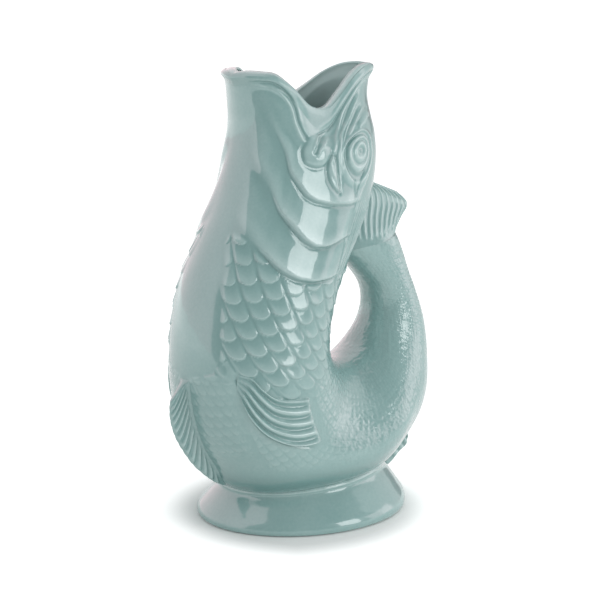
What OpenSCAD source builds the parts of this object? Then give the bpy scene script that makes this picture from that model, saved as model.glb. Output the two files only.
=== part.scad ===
// Glazed earthenware jug in the shape of a fish that stands on its belly.
// The fish pours from its open mouth, and its tail curls up behind the neck as the handle.
// X runs from the pouring lip (minus) to the tail handle (plus), Z is up, and the foot stands at Z = 0.
// One table of sections describes the whole fish, fanned round the hole of the handle.

/* [Overall size] */
// Height from the table to the pouring lip, mm
jug_height = 235; // [180:1:320]
// Length of the fish from its belly to the back of the tail handle, mm
jug_length = 160; // [130:1:200]
// Width of the fish across its flanks, mm
body_width = 84; // [70:1:110]
// Thickness of the clay in the head and the trunk, mm
wall = 4.5; // [3:0.5:6]
// Thickness of the clay in the hollow tail handle, mm
tail_wall = 4; // [3:0.5:5]
// Thickness of the floor under the belly, mm
floor_wall = 5; // [3:0.5:8]

/* [Mouth] */
// Drop of the rim from the pouring lip to the corners of the mouth, mm
mouth_depth = 21.3; // [10:0.1:26]
// Swell of the rolled lips beyond the head, mm
lip_roll = 1.6; // [0:0.1:2.5]
// Rise of the rounded crest of the rim above the edges of the clay, mm
rim_crown = 1.3; // [0.5:0.1:1.6]

/* [Foot] */
// Height of the foot at the middle of the jug, mm
foot_height = 21.5; // [16:0.5:28]
// Length of the foot where it stands, mm
foot_length = 110; // [96:1:130]
// Width of the foot where it stands, mm
foot_width = 95; // [84:1:110]
// Length of the waist, where the foot meets the belly, mm
waist_length = 94; // [84:1:104]
// Width of the waist, mm
waist_width = 75; // [66:1:84]
// Thickness of the wall of the foot, mm
foot_wall = 4.5; // [3:0.5:6]
// Swell of the foot's rolled edge beyond the ring that it stands on, mm
foot_roll = 3.2; // [0:0.1:4]

/* [Tail fin] */
// Flare of the tip of the fan behind the end of the handle, mm
fan_flare = 13.3; // [8:0.1:18]
// Rise of the tip of the fan above the end of the handle, mm
fan_rise = 13.5; // [10:0.1:18]
// Thickness of the fan at its upper edge, mm
fan_edge = 3; // [2:0.5:6]

/* [Fins] */
// Height that the front fin stands off the belly, mm
front_fin_height = 12; // [6:0.5:15]
// Height that the rear fin stands off the tail, mm
rear_fin_height = 16; // [8:0.5:18]
// Clearance of the rear fin behind the waist of the foot, mm
rear_fin_clearance = 6; // [4:0.5:9]
// Thickness of the front and rear fins at the root, mm
fin_root = 6.5; // [4:0.5:9]
// Thickness of the front and rear fins at the edge, mm
fin_edge = 3; // [2:0.5:4]
// Number of rays in the front fin
front_rays = 12; // [6:1:16]
// Number of rays in the rear fin
rear_rays = 6; // [3:1:10]
// Thickness of the side fins between their rays, mm
side_fin_web = 1.6; // [1:0.1:3]
// Rise of the rays on the side fins, mm
side_fin_ray = 1.5; // [0.5:0.1:3]
// Number of rays in each side fin
side_rays = 6; // [3:1:9]

/* [Head] */
// Step at the edge of each gill plate, mm
gill_step = 1.9; // [1:0.1:3]
// Thickness of the gill plates where they thin out, mm
gill_feather = 0.6; // [0.5:0.1:1.2]
// Height of the fold of the jaw above the cheek, mm
jaw_height = 2.4; // [1:0.1:3.5]
// Thickness of the fold of the jaw where it thins out, mm
jaw_feather = 0.6; // [0.5:0.1:1.2]
// Height of the eye above the cheek, mm
eye_height = 3.2; // [2:0.1:5]

/* [Hidden] */

glaze = "#8cafac";
glaze_dark = "#7aa09d";
glaze_light = "#a3bfbc";

// Clearance of the luted pieces from the surface that they sit on
luting_gap = 0.4;
// Slope of the waist, which rises towards the tail
waist_rise = 5.6;
// Centre of the foot along X
foot_centre = 2.4;

// Sections from the rim to the end of the tail: belly X and Z, back X and Z, half width,
// taper towards the back, and how far the section follows the drop of the rim.
// X is a share of jug_length, Z of jug_height and the half width of body_width.
section_shares = [
    [-0.266, 1.000, 0.311, 1.000, 0.231, 0.52, 1.00],
    [-0.266, 0.989, 0.307, 0.986, 0.240, 0.50, 1.03],
    [-0.259, 0.970, 0.293, 0.966, 0.255, 0.44, 1.16],
    [-0.251, 0.929, 0.277, 0.927, 0.290, 0.26, 0.92],
    [-0.245, 0.884, 0.276, 0.886, 0.329, 0.10, 0.50],
    [-0.251, 0.839, 0.284, 0.846, 0.357, 0.04, 0.20],
    [-0.273, 0.779, 0.285, 0.790, 0.376, 0.00, 0.00],
    [-0.316, 0.702, 0.262, 0.719, 0.405, 0.00, 0.00],
    [-0.376, 0.623, 0.212, 0.648, 0.431, 0.00, 0.00],
    [-0.429, 0.547, 0.152, 0.581, 0.452, 0.00, 0.00],
    [-0.454, 0.470, 0.098, 0.519, 0.467, 0.00, 0.00],
    [-0.464, 0.391, 0.066, 0.462, 0.480, 0.00, 0.00],
    [-0.459, 0.315, 0.053, 0.411, 0.490, 0.00, 0.00],
    [-0.430, 0.230, 0.066, 0.370, 0.500, 0.04, 0.00],
    [-0.371, 0.153, 0.102, 0.345, 0.505, 0.14, 0.00],
    [-0.266, 0.077, 0.143, 0.332, 0.500, 0.27, 0.00],
    [0.002, 0.051, 0.184, 0.330, 0.488, 0.34, 0.00],
    [0.271, 0.077, 0.221, 0.341, 0.452, 0.22, 0.00],
    [0.411, 0.142, 0.253, 0.357, 0.380, 0.08, 0.00],
    [0.499, 0.213, 0.277, 0.383, 0.304, 0.03, 0.00],
    [0.529, 0.300, 0.296, 0.412, 0.238, 0.00, 0.00],
    [0.523, 0.387, 0.302, 0.447, 0.195, 0.00, 0.00],
    [0.486, 0.468, 0.285, 0.485, 0.169, 0.00, 0.00],
    [0.440, 0.537, 0.234, 0.527, 0.155, 0.00, 0.00]
];
// The last section of the tail: belly X, belly Z and half width, its back rests on the neck
tail_end_shares = [0.390, 0.596, 0.148];
// Drop of the rim at every 15 degrees from the pouring lip to the snout, share of mouth_depth
rim_drop_shares = [0.01, 0.00, 0.01, 0.07, 0.39, 0.84, 0.92, 0.61, 0.29, 0.12, 0.08, 0.10, 0.12];
// Places along the fish, from none at the rim to the whole way at the end of the tail:
// where the head and the trunk end, where the hollow of the tail ends, and where the tail
// and the fan rest on the neck
head_end_share = 0.25;
trunk_end_share = 0.75;
hollow_end_share = 0.967;
seat_share = 0.377;
fan_end_share = 0.2896;

// Segments round the fish
segments = 48;
turn = 360;
half_turn = turn / 2;

// Number of the last section, and of those where one piece ends and the next begins
tail_end = len(section_shares);
head_end = tail_end * head_end_share;
trunk_end = tail_end * trunk_end_share;
hollow_end = tail_end * hollow_end_share;
seat = tail_end * seat_share;
fan_end = tail_end * fan_end_share;

// Catmull-Rom value between the second and the third of four rows
function blend(a, b, c, d, t) =
    (2 * b + (c - a) * t + (2 * a - 5 * b + 4 * c - d) * t * t + (3 * b - a - 3 * c + d) * t * t * t) / 2;

// Row of a table at any place along it
function along(table, place) =
    let (last = len(table) - 1, i = max(0, min(floor(place), last - 1)))
    let (before = i > 0 ? table[i - 1] : 2 * table[0] - table[1])
    let (after = i + 2 > last ? 2 * table[last] - table[last - 1] : table[i + 2])
    blend(before, table[i], table[i + 1], after, place - i);

function scaled(row, sizes) = [for (i = [0 : len(row) - 1]) row[i] * sizes[i]];
function spread(a, b, count) = [for (i = [0 : count]) a + (b - a) * i / count];
function reversed(list) = [for (i = [len(list) - 1 : -1 : 0]) list[i]];
function unit(v) = v / norm(v);

row_sizes = [jug_length, jug_height, jug_length, jug_height, body_width, 1, 1];
neck_rows = [for (row = section_shares) scaled(row, row_sizes)];

// Point on the line of the back, held off the clay by a gap
function back_point(s, gap) =
    let (row = along(neck_rows, s), out = unit([row[2] - row[0], row[3] - row[1]]))
    [row[2], row[3]] + gap * out;

tail_back = back_point(seat, luting_gap);
tail_row = [
    tail_end_shares[0] * jug_length, tail_end_shares[1] * jug_height,
    tail_back[0], tail_back[1], tail_end_shares[2] * body_width, 0, 0
];
rows = concat(neck_rows, [tail_row]);

// How far the rim drops at an angle, which is zero at the belly
function rim_drop(angle) =
    let (folded = abs(angle) > half_turn ? turn - abs(angle) : abs(angle))
    mouth_depth * along(rim_drop_shares, folded / half_turn * (len(rim_drop_shares) - 1));

// Height of the waist plane, which carries the belly on the foot
function waist_z(x) = foot_height + waist_rise * (x - foot_centre) / waist_length;

// Swell of the rolled lips, none at the corners of the mouth
function lip_swell(s, angle) =
    s > 2 ? 0 : lip_roll * sin(half_turn * s / 2) * (1 - rim_drop(angle) / mouth_depth);

// Point of the fish at a section and an angle, inset from its outer surface
function skin(s, angle, inset = 0, rise = 0) =
    let (row = along(rows, s))
    let (middle = [row[0] + row[2], row[1] + row[3]] / 2, arm = [row[0] - row[2], row[1] - row[3]] / 2)
    let (grow = lip_swell(s, angle) - inset, shrunk = unit(arm) * (norm(arm) + grow))
    let (x = middle[0] + shrunk[0] * cos(angle))
    let (y = -(row[4] + grow) * sin(angle) * (1 + row[5] * cos(angle)))
    let (z = middle[1] + shrunk[1] * cos(angle) - row[6] * rim_drop(angle) + rise)
    [x, y, max(z, waist_z(x) + (inset > 0 ? floor_wall : 0))];

// Outward direction of the surface
function outward(s, angle) =
    let (ds = 0.05, da = 1, back = max(0, s - ds))
    let (along_fish = skin(s + ds, angle) - skin(back, angle))
    let (round_fish = skin(s, angle + da) - skin(s, angle - da))
    unit(cross(along_fish, round_fish));

function ring(s, inset = 0, rise = 0) = [for (i = [0 : segments - 1]) skin(s, i * turn / segments, inset, rise)];

// Solid through a list of closed rings, either capped at both ends or closed on itself
module loft(rings, closed = false) {
    count = len(rings[0]);
    steps = len(rings) - (closed ? 0 : 1);
    sides = [
        for (i = [0 : steps - 1], j = [0 : count - 1])
            let (k = (i + 1) % len(rings), l = (j + 1) % count)
            each [
                [i * count + j, i * count + l, k * count + l],
                [i * count + j, k * count + l, k * count + j]
            ]
    ];
    first = [for (j = [count - 1 : -1 : 0]) j];
    last = [for (j = [0 : count - 1]) (len(rings) - 1) * count + j];
    polyhedron([for (r = rings) each r], closed ? sides : concat(sides, [first, last]));
}

// Wall between outer and inner rings, open at both ends
module shell(outer, inner) {
    loft(concat(outer, reversed(inner)), closed = true);
}

// Section and angle of a place that is given as shares of the fish and of the half turn
function place(share) = [share[0] * tail_end, share[1] * half_turn];

// Applied piece: a grid of places on the fish and how far the clay stands off it there
module applied(places, heights) {
    nu = len(places);
    nv = len(places[0]);
    base = [for (row = places, p = row) skin(p[0], p[1]) + luting_gap * outward(p[0], p[1])];
    top = [
        for (i = [0 : nu - 1], j = [0 : nv - 1])
            let (p = places[i][j])
            skin(p[0], p[1]) + (luting_gap + heights[i][j]) * outward(p[0], p[1])
    ];
    half = nu * nv;
    border = concat(
        [for (j = [0 : nv - 2]) j],
        [for (i = [0 : nu - 2]) i * nv + nv - 1],
        [for (j = [nv - 1 : -1 : 1]) (nu - 1) * nv + j],
        [for (i = [nu - 1 : -1 : 1]) i * nv]
    );
    faces = [
        for (i = [0 : nu - 2], j = [0 : nv - 2])
            let (a = i * nv + j, b = a + 1, c = a + nv + 1, d = a + nv)
            each [
                [a, b, c], [a, c, d],
                [half + c, half + b, half + a], [half + d, half + c, half + a]
            ]
    ];
    edges = [
        for (i = [0 : len(border) - 1])
            let (a = border[i], b = border[(i + 1) % len(border)])
            each [[a, half + a, half + b], [a, half + b, b]]
    ];
    polyhedron(concat(base, top), concat(faces, edges));
}

module mirrored(left) {
    mirror([0, left ? 1 : 0, 0])
        children();
}

// Head: the open mouth with its rolled lips, down to behind the cheeks
module head() {
    outer_shares = [0.12, 0.18, 0.25, 0.33, 0.42, 0.52, 0.64, 0.76, 0.88, 1];
    inner_shares = [0.17, 0.32, 0.48, 0.65, 0.82, 1];
    // The crest is a half round from the outer surface to the inner one
    function crest(turned) = ring(0, wall / 2 * (1 - sin(turned)), -rim_crown * (1 - cos(turned)));
    outer = concat([for (turned = [0 : 45 : 90]) crest(turned)], [for (share = outer_shares) ring(share * head_end)]);
    inner = concat([for (turned = [-45, -90]) crest(turned)], [for (share = inner_shares) ring(share * head_end, wall)]);
    color(glaze)
        shell(outer, inner);
}

// Trunk: the hollow belly, flat where it rests on the foot
module trunk() {
    outer = [for (s = spread(head_end, trunk_end, 24)) ring(s)];
    inner = [for (s = spread(head_end, trunk_end, 14)) ring(s, wall)];
    color(glaze)
        shell(outer, inner);
}

// Tail handle: hollow and open to the trunk, closed where it leans on the neck
module tail_handle() {
    inner = [for (s = spread(trunk_end, hollow_end, 7)) ring(s, s == trunk_end ? wall : tail_wall)];
    outer = [for (s = spread(trunk_end, tail_end, 13)) ring(s)];
    color(glaze)
        loft(concat(reversed(inner), outer));
}

// Tail fin: the fan that opens above the end of the tail against the back of the neck
module tail_fin() {
    // Shares up the neck, of the flare, of the rise, of the thickness and of the way off the neck
    fan_shares = [
        [0.00, 0.00, 0.00, 1.00, 0.00], [0.24, 0.14, 0.30, 0.72, 0.00], [0.50, 0.45, 0.62, 0.48, 0.00],
        [0.76, 0.84, 0.88, 0.26, 0.00], [0.93, 1.00, 1.02, 0.12, 0.00], [1.00, 0.95, 1.21, 0.04, 0.04],
        [1.03, 0.50, 1.60, 0.00, 0.37]
    ];
    rings = [
        for (share = fan_shares)
            let (
                inner = back_point(seat + (fan_end - seat) * share[0], luting_gap)
                    + [share[4] * fan_flare, 0],
                outer = [tail_row[0] + share[1] * fan_flare, tail_row[1] + share[2] * fan_rise],
                half = fan_edge / 2 + (tail_row[4] - fan_edge / 2) * share[3],
                middle = (inner + outer) / 2,
                arm = (outer - inner) / 2
            )
            [
                for (i = [0 : segments - 1])
                    let (angle = i * turn / segments)
                    [middle[0] + arm[0] * cos(angle), -half * sin(angle), middle[1] + arm[1] * cos(angle)]
            ]
    ];
    color(glaze_dark)
        loft(rings);
}

// Foot: an oval flared ring with a rolled edge, hollow underneath
module foot() {
    // Share of the height, share of the way from the waist to the standing ring, share of the roll
    profile_shares = [
        [0.00, 0.95, 0.00], [0.03, 1.00, 0.75], [0.14, 1.00, 1.00], [0.30, 0.90, 0.95], [0.50, 0.58, 0.80],
        [0.70, 0.26, 0.60], [0.86, 0.07, 0.25], [1.00, 0.00, 0.00]
    ];
    hollow_shares = [[0.00, 0.95, 0.00], [0.16, 0.93, 0.00], [0.36, 0.70, 0.00], [0.62, 0.27, 0.00], [1.00, 0.00, 0.00]];
    function oval(share, inset) = [
        for (i = [0 : segments - 1])
            let (
                angle = i * turn / segments,
                grow = share[2] * foot_roll - inset,
                a = waist_length / 2 + share[1] * (foot_length - waist_length) / 2 + grow,
                b = waist_width / 2 + share[1] * (foot_width - waist_width) / 2 + grow,
                x = foot_centre + a * cos(angle)
            )
            [x, b * sin(angle), share[0] * waist_z(x)]
    ];
    color(glaze_dark)
        shell(
            [for (share = reversed(profile_shares)) oval(share, 0)],
            [for (share = reversed(hollow_shares)) oval(share, foot_wall)]
        );
}

// Fin on the centre line: rays that stand off the fish from one place along it to another
module centre_fin(from, to, height, rays, shape_shares) {
    // Thickness between two rays against that of a ray, and swell of the fin half way out
    hollow_share = 0.62;
    swell_share = 0.56;
    steps = 2 * rays;
    rings = [
        for (i = [0 : steps])
            let (
                way = i / steps,
                s = from + (to - from) * way,
                foot_point = skin(s, 0) + luting_gap * outward(s, 0),
                shape = along(shape_shares, way * (len(shape_shares) - 1)),
                lean = skin(s + shape[1], 0) - skin(s, 0),
                edge_point = foot_point + shape[0] * height * outward(s, 0) + lean,
                ray = i % 2 == 0 ? 1 : hollow_share,
                near = fin_root / 2 * ray,
                far = fin_edge / 2 * ray,
                swell = swell_share * (near + far),
                mid = (foot_point + edge_point) / 2
            )
            [
                foot_point + [0, near, 0], mid + [0, swell, 0], edge_point + [0, far, 0],
                edge_point - [0, far, 0], mid - [0, swell, 0], foot_point - [0, near, 0]
            ]
    ];
    color(glaze_light)
        loft(rings);
}

// Front fin: from the belly down to the waist
module front_fin() {
    from_share = 0.476;
    to_share = 0.6125;
    // Height of the fin and how far its rays lean down the fish, in sections
    shape_shares = [[0.86, 0.48], [1.00, 0.32], [0.97, 0.26], [0.82, 0.22], [0.64, 0.23], [0.38, 0.16], [0.06, 0.00]];
    centre_fin(from_share * tail_end, to_share * tail_end, front_fin_height, front_rays, shape_shares);
}

// Rear fin: under the tail, behind the waist of the foot
module rear_fin() {
    length_share = 0.048;
    shape_shares = [[0.95, 0.20], [0.92, 0.00], [0.96, -0.07], [0.78, -0.23], [0.49, -0.30]];
    waist_end = foot_centre + waist_length / 2 + rear_fin_clearance;
    from = [for (share = [0.7 : 0.001 : 0.8]) if (skin(share * tail_end, 0)[0] > waist_end) share * tail_end][0];
    centre_fin(from, from + length_share * tail_end, rear_fin_height, rear_rays, shape_shares);
}

// Side fin: a curved fan of rays swept back over the flank
module side_fin() {
    // Upper and lower edges from the root to the tip, and the thickness along the way
    upper_shares = [[0.473, 0.256], [0.481, 0.306], [0.502, 0.367], [0.523, 0.433], [0.538, 0.506]];
    lower_shares = [[0.498, 0.239], [0.525, 0.256], [0.554, 0.294], [0.579, 0.356], [0.604, 0.444]];
    thickness_shares = [0.25, 0.65, 0.95, 1, 0.9];
    edge_share = 0.8;
    lengthwise = 8;
    crosswise = 2 * side_rays;
    places = [
        for (u = [0 : lengthwise])
            let (
                upper = place(along(upper_shares, 4 * u / lengthwise)),
                lower = place(along(lower_shares, 4 * u / lengthwise))
            )
            [for (v = [0 : crosswise]) upper + (lower - upper) * v / crosswise]
    ];
    heights = [
        for (u = [0 : lengthwise])
            let (thickness = along([for (share = thickness_shares) [share]], 4 * u / lengthwise)[0])
            [
                for (v = [0 : crosswise])
                    (side_fin_web + (v % 2 == 1 ? side_fin_ray : 0)) * (v == 0 || v == crosswise ? edge_share : 1)
                        * thickness
            ]
    ];
    color(glaze_light)
        applied(places, heights);
}

module side_fin_left() {
    mirrored(true)
        side_fin();
}

module side_fin_right() {
    mirrored(false)
        side_fin();
}

// Gill plates: three overlapping crescents that step down towards the trunk
module gill_plates() {
    // The feathered front and the three edges, from the throat to the nape
    front_shares = [[0.083, 0.119], [0.158, 0.225], [0.238, 0.325], [0.262, 0.444], [0.279, 0.622]];
    first_shares = [[0.092, 0.117], [0.171, 0.211], [0.258, 0.322], [0.285, 0.444], [0.290, 0.678]];
    second_shares = [[0.229, 0.128], [0.267, 0.222], [0.310, 0.344], [0.335, 0.478], [0.327, 0.733]];
    third_shares = [[0.300, 0.122], [0.331, 0.239], [0.360, 0.361], [0.379, 0.511], [0.375, 0.789]];
    // Length of the fall at an edge, rise of a plate towards its edge, and the step along the edge
    fall_share = 0.0033;
    rise_shares = [0, 0.33, 0.67, 1];
    step_shares = [0.2, 0.6, 1, 1, 0.5];
    steps = 16;
    places = [
        for (u = [0 : steps])
            let (
                t = 4 * u / steps,
                front = place(along(front_shares, t)),
                first = place(along(first_shares, t)),
                second = place(along(second_shares, t)),
                third = place(along(third_shares, t)),
                fall = [fall_share * tail_end, 0]
            )
            [
                for (plate = [[front, first], [first + fall, second], [second + fall, third]], v = [0 : 3])
                    plate[0] + (plate[1] - plate[0]) * v / 3
            ]
    ];
    heights = [
        for (u = [0 : steps])
            let (step = gill_step * along([for (share = step_shares) [share]], 4 * u / steps)[0])
            [for (plate = [0 : 2], share = rise_shares) gill_feather + share * step]
    ];
    color(glaze)
        applied(places, heights);
}

module gill_plates_left() {
    mirrored(true)
        gill_plates();
}

module gill_plates_right() {
    mirrored(false)
        gill_plates();
}

// Jaw: the fold that hangs from the corner of the mouth as a drop
module jaw() {
    // Front and rear edges from the corner of the mouth down to the tip, and the height along the way
    front_shares = [[0.100, 0.433], [0.142, 0.372], [0.179, 0.336], [0.210, 0.328], [0.229, 0.356]];
    rear_shares = [[0.092, 0.494], [0.138, 0.444], [0.179, 0.414], [0.212, 0.400], [0.234, 0.389]];
    height_shares = [0.25, 0.55, 0.9, 1, 0.35];
    across_shares = [0.15, 0.8, 1, 0.8, 0.15];
    steps = 10;
    places = [
        for (u = [0 : steps])
            let (front = place(along(front_shares, 4 * u / steps)), rear = place(along(rear_shares, 4 * u / steps)))
            [for (v = [0 : 4]) rear + (front - rear) * v / 4]
    ];
    heights = [
        for (u = [0 : steps])
            let (height = along([for (share = height_shares) [share]], 4 * u / steps)[0])
            [for (share = across_shares) jaw_feather + share * height * jaw_height]
    ];
    color(glaze_light)
        applied(places, heights);
}

module jaw_left() {
    mirrored(true)
        jaw();
}

module jaw_right() {
    mirrored(false)
        jaw();
}

// Eye: a domed pupil in a ringed socket
module eye() {
    centre_share = [0.224, 0.611];
    reach_share = [0.0383, 0.086];
    // Radius and height of each ring
    ring_shares = [[1.00, 0.20], [0.90, 0.55], [0.78, 0.60], [0.66, 0.30], [0.54, 0.62], [0.42, 0.70], [0.30, 0.45], [0.20, 0.85]];
    sides = 20;
    function places(share) = [
        for (i = [0 : sides - 1])
            let (angle = i * turn / sides)
            place(centre_share + share * [reach_share[0] * sin(angle), reach_share[1] * cos(angle)])
    ];
    function lifted(list, height) = [
        for (p = list) skin(p[0], p[1]) + (luting_gap + height) * outward(p[0], p[1])
    ];
    under = [for (share = reversed(ring_shares)) lifted(places(share[0]), 0)];
    over = [for (share = ring_shares) lifted(places(share[0]), share[1] * eye_height)];
    color(glaze_light)
        loft(concat(under, over));
}

module eye_left() {
    mirrored(true)
        eye();
}

module eye_right() {
    mirrored(false)
        eye();
}

head();
trunk();
tail_handle();
tail_fin();
foot();
front_fin();
rear_fin();
side_fin_left();
side_fin_right();
gill_plates_left();
gill_plates_right();
jaw_left();
jaw_right();
eye_left();
eye_right();
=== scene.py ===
# %% [markdown]
# # A glazed fish jug
# The real object is one piece of slip-cast earthenware: clay slip is poured into a plaster mould, drained,
# fettled, fired, dipped in a pale blue-green glaze and fired again. Nothing on it moves. This lesson
# rebuilds its surface around a packed construction model, which is loaded first and never moved.

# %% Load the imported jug
import math
from functools import partial
import bpy
import numpy as np
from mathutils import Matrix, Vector
from mathutils.bvhtree import BVHTree


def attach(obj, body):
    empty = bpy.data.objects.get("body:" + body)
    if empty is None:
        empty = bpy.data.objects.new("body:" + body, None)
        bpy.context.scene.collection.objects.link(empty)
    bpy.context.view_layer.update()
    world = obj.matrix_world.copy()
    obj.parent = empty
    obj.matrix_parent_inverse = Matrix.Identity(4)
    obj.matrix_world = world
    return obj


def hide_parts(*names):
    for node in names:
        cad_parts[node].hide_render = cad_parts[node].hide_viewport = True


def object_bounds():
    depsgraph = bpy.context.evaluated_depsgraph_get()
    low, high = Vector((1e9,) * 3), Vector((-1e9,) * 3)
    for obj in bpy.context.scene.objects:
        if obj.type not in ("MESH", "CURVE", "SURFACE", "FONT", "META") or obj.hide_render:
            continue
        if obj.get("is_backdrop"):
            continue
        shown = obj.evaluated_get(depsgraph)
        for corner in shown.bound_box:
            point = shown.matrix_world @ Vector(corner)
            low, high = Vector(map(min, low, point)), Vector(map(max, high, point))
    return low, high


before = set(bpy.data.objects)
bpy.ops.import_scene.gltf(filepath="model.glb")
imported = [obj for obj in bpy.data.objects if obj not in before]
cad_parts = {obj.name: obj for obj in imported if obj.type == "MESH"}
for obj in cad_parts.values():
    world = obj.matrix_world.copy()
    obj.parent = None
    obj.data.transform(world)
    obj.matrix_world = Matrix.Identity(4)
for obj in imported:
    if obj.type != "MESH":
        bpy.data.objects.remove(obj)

construction_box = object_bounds()
MM = 0.001
print("nodes:", ", ".join(sorted(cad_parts)))
print("box in mm:", [[round(v / MM, 1) for v in corner] for corner in construction_box])

# %% [markdown]
# ## The camera
# The photograph looks down a little at the right flank and the pouring lip. The place of the camera was
# worked out from the oval of the foot, so it is written as a place and a point that it looks at.


# %% Camera
def placed(name, data):
    """A new object in the scene."""
    thing = bpy.data.objects.new(name, data)
    bpy.context.scene.collection.objects.link(thing)
    return thing


CAMERA_AT = Vector((-768.9, -919.3, 384.0)) * MM
CAMERA_AIM = Vector((2.4, 0.0, 112.0)) * MM
camera_data = bpy.data.cameras.new("camera")
camera_data.lens = 141.74
camera_data.sensor_width = 36.0
camera_data.shift_x = -0.0025
camera = placed("camera", camera_data)
camera.location = CAMERA_AT
camera.rotation_euler = (CAMERA_AIM - CAMERA_AT).to_track_quat("-Z", "Y").to_euler()
bpy.context.scene.camera = camera
print("camera distance in mm:", round((CAMERA_AT - CAMERA_AIM).length / MM))

# %% [markdown]
# ## The form of the fish
# A mould maker would model the whole fish once and cut the mould round it. Here one table of oval sections
# does that job: each row fans round the hole of the handle, from the rim of the mouth, through the belly,
# to the tail. A smooth curve through the rows gives a point for any place along the fish and any angle
# round it.

# %% Table of sections
HEIGHT = round(float(construction_box[1][2]) / MM, 2)
LENGTH, WIDTH = 160.0, 84.0
WALL, TAIL_WALL, BELLY_FLOOR = 4.5, 4.0, 5.0
MOUTH_DEPTH, RIM_CROWN = 21.3, 1.3
# The lips swell by this much up to this place, and the lower lip is pointed by this share over this angle
LIP_ROLL, LIP_END, LIP_POINT, POINT_SPREAD = 1.6, 2, 0.28, 26
FOOT_HEIGHT, FOOT_CENTRE, WAIST_LENGTH, WAIST_WIDTH, WAIST_RISE = 21.5, 2.4, 94.0, 75.0, 5.6
# Belly and back as x and z, half the width, how much fuller the belly's side is, and the share of the rim's
# drop
SECTIONS = np.array([
    [-0.266, 1.000, 0.311, 1.000, 0.231, 0.52, 1.00], [-0.266, 0.989, 0.307, 0.986, 0.240, 0.50, 1.03],
    [-0.259, 0.970, 0.293, 0.966, 0.255, 0.44, 1.16], [-0.251, 0.929, 0.277, 0.927, 0.290, 0.26, 0.92],
    [-0.245, 0.884, 0.276, 0.886, 0.329, 0.10, 0.50], [-0.251, 0.839, 0.284, 0.846, 0.357, 0.04, 0.20],
    [-0.273, 0.779, 0.285, 0.790, 0.376, 0.00, 0.00], [-0.316, 0.702, 0.262, 0.719, 0.405, 0.00, 0.00],
    [-0.376, 0.623, 0.212, 0.648, 0.431, 0.00, 0.00], [-0.429, 0.547, 0.152, 0.581, 0.452, 0.00, 0.00],
    [-0.454, 0.470, 0.098, 0.519, 0.467, 0.00, 0.00], [-0.464, 0.391, 0.066, 0.462, 0.480, 0.00, 0.00],
    [-0.459, 0.315, 0.053, 0.411, 0.490, 0.00, 0.00], [-0.430, 0.230, 0.066, 0.370, 0.500, 0.04, 0.00],
    [-0.371, 0.153, 0.102, 0.345, 0.505, 0.14, 0.00], [-0.266, 0.077, 0.143, 0.332, 0.500, 0.27, 0.00],
    [0.002, 0.051, 0.184, 0.330, 0.488, 0.34, 0.00], [0.271, 0.077, 0.221, 0.341, 0.452, 0.22, 0.00],
    [0.411, 0.142, 0.253, 0.357, 0.380, 0.08, 0.00], [0.499, 0.213, 0.277, 0.383, 0.304, 0.03, 0.00],
    [0.529, 0.300, 0.296, 0.412, 0.238, 0.00, 0.00], [0.523, 0.387, 0.302, 0.447, 0.195, 0.00, 0.00],
    [0.486, 0.468, 0.285, 0.485, 0.169, 0.00, 0.00], [0.440, 0.537, 0.234, 0.527, 0.155, 0.00, 0.00],
]) * [LENGTH, HEIGHT, LENGTH, HEIGHT, WIDTH, 1, 1]
# Shares of the depth of the mouth, every 15 degrees from the belly to the back
RIM_DROPS = [0.01, -0.03, -0.02, 0.05, 0.385, 0.84, 0.92, 0.61, 0.29, 0.12, 0.08, 0.10, 0.12]
print("deepest point of the rim is", round(MOUTH_DEPTH * max(RIM_DROPS), 1), "mm down")


# %% Curves through a table
def along(table, place):
    """Smooth value of a table at any place along it."""
    table, place = np.asarray(table, float), np.asarray(place, float)
    flat = table.ndim == 1
    rows = table[:, None] if flat else table
    rows = np.vstack([2 * rows[0] - rows[1], rows, 2 * rows[-1] - rows[-2]])
    i = np.clip(np.floor(place).astype(int), 0, len(rows) - 4)
    t = (place - i)[..., None]
    a, b, c, d = rows[i], rows[i + 1], rows[i + 2], rows[i + 3]
    value = (2 * b + (c - a) * t + (2 * a - 5 * b + 4 * c - d) * t ** 2
             + (3 * b - a - 3 * c + d) * t ** 3) / 2
    return value[..., 0] if flat else value


def unit(directions):
    return directions / np.maximum(np.linalg.norm(directions, axis=-1, keepdims=True), 1e-12)


def back_point(place, gap):
    """Point in x and z that stands off the nape by a gap."""
    row = along(SECTIONS, place)
    return row[2:4] + gap * unit(row[2:4] - row[0:2])


# The tail ends against the nape, at the seat of its fan
SEAT, FAN_END, LUTING_GAP = 9.05, 6.95, 0.4
TAIL_ROW = np.array([0.390 * LENGTH, 0.596 * HEIGHT, *back_point(SEAT, LUTING_GAP), 0.148 * WIDTH, 0, 0])
ROWS = np.vstack([SECTIONS, TAIL_ROW])
TAIL_END = len(ROWS) - 1
print("rows in the table:", len(ROWS))

# %% [markdown]
# ## A point of the skin
# On the real jug the mouth is cut out of the top of the form, its lips are rolled, and the belly is set
# flat on the foot. Each of these is one term of a function that turns a place and an angle into a point, so
# that everything made later can be laid on the skin, or under it, by asking the same function.


# %% Point of the skin
def rim_drop(angle):
    folded = np.where(np.abs(angle) > 180, 360 - np.abs(angle), np.abs(angle))
    return MOUTH_DEPTH * along(RIM_DROPS, folded / 180 * (len(RIM_DROPS) - 1))


def waist_z(x):
    return FOOT_HEIGHT + WAIST_RISE * (x - FOOT_CENTRE) / WAIST_LENGTH


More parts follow.
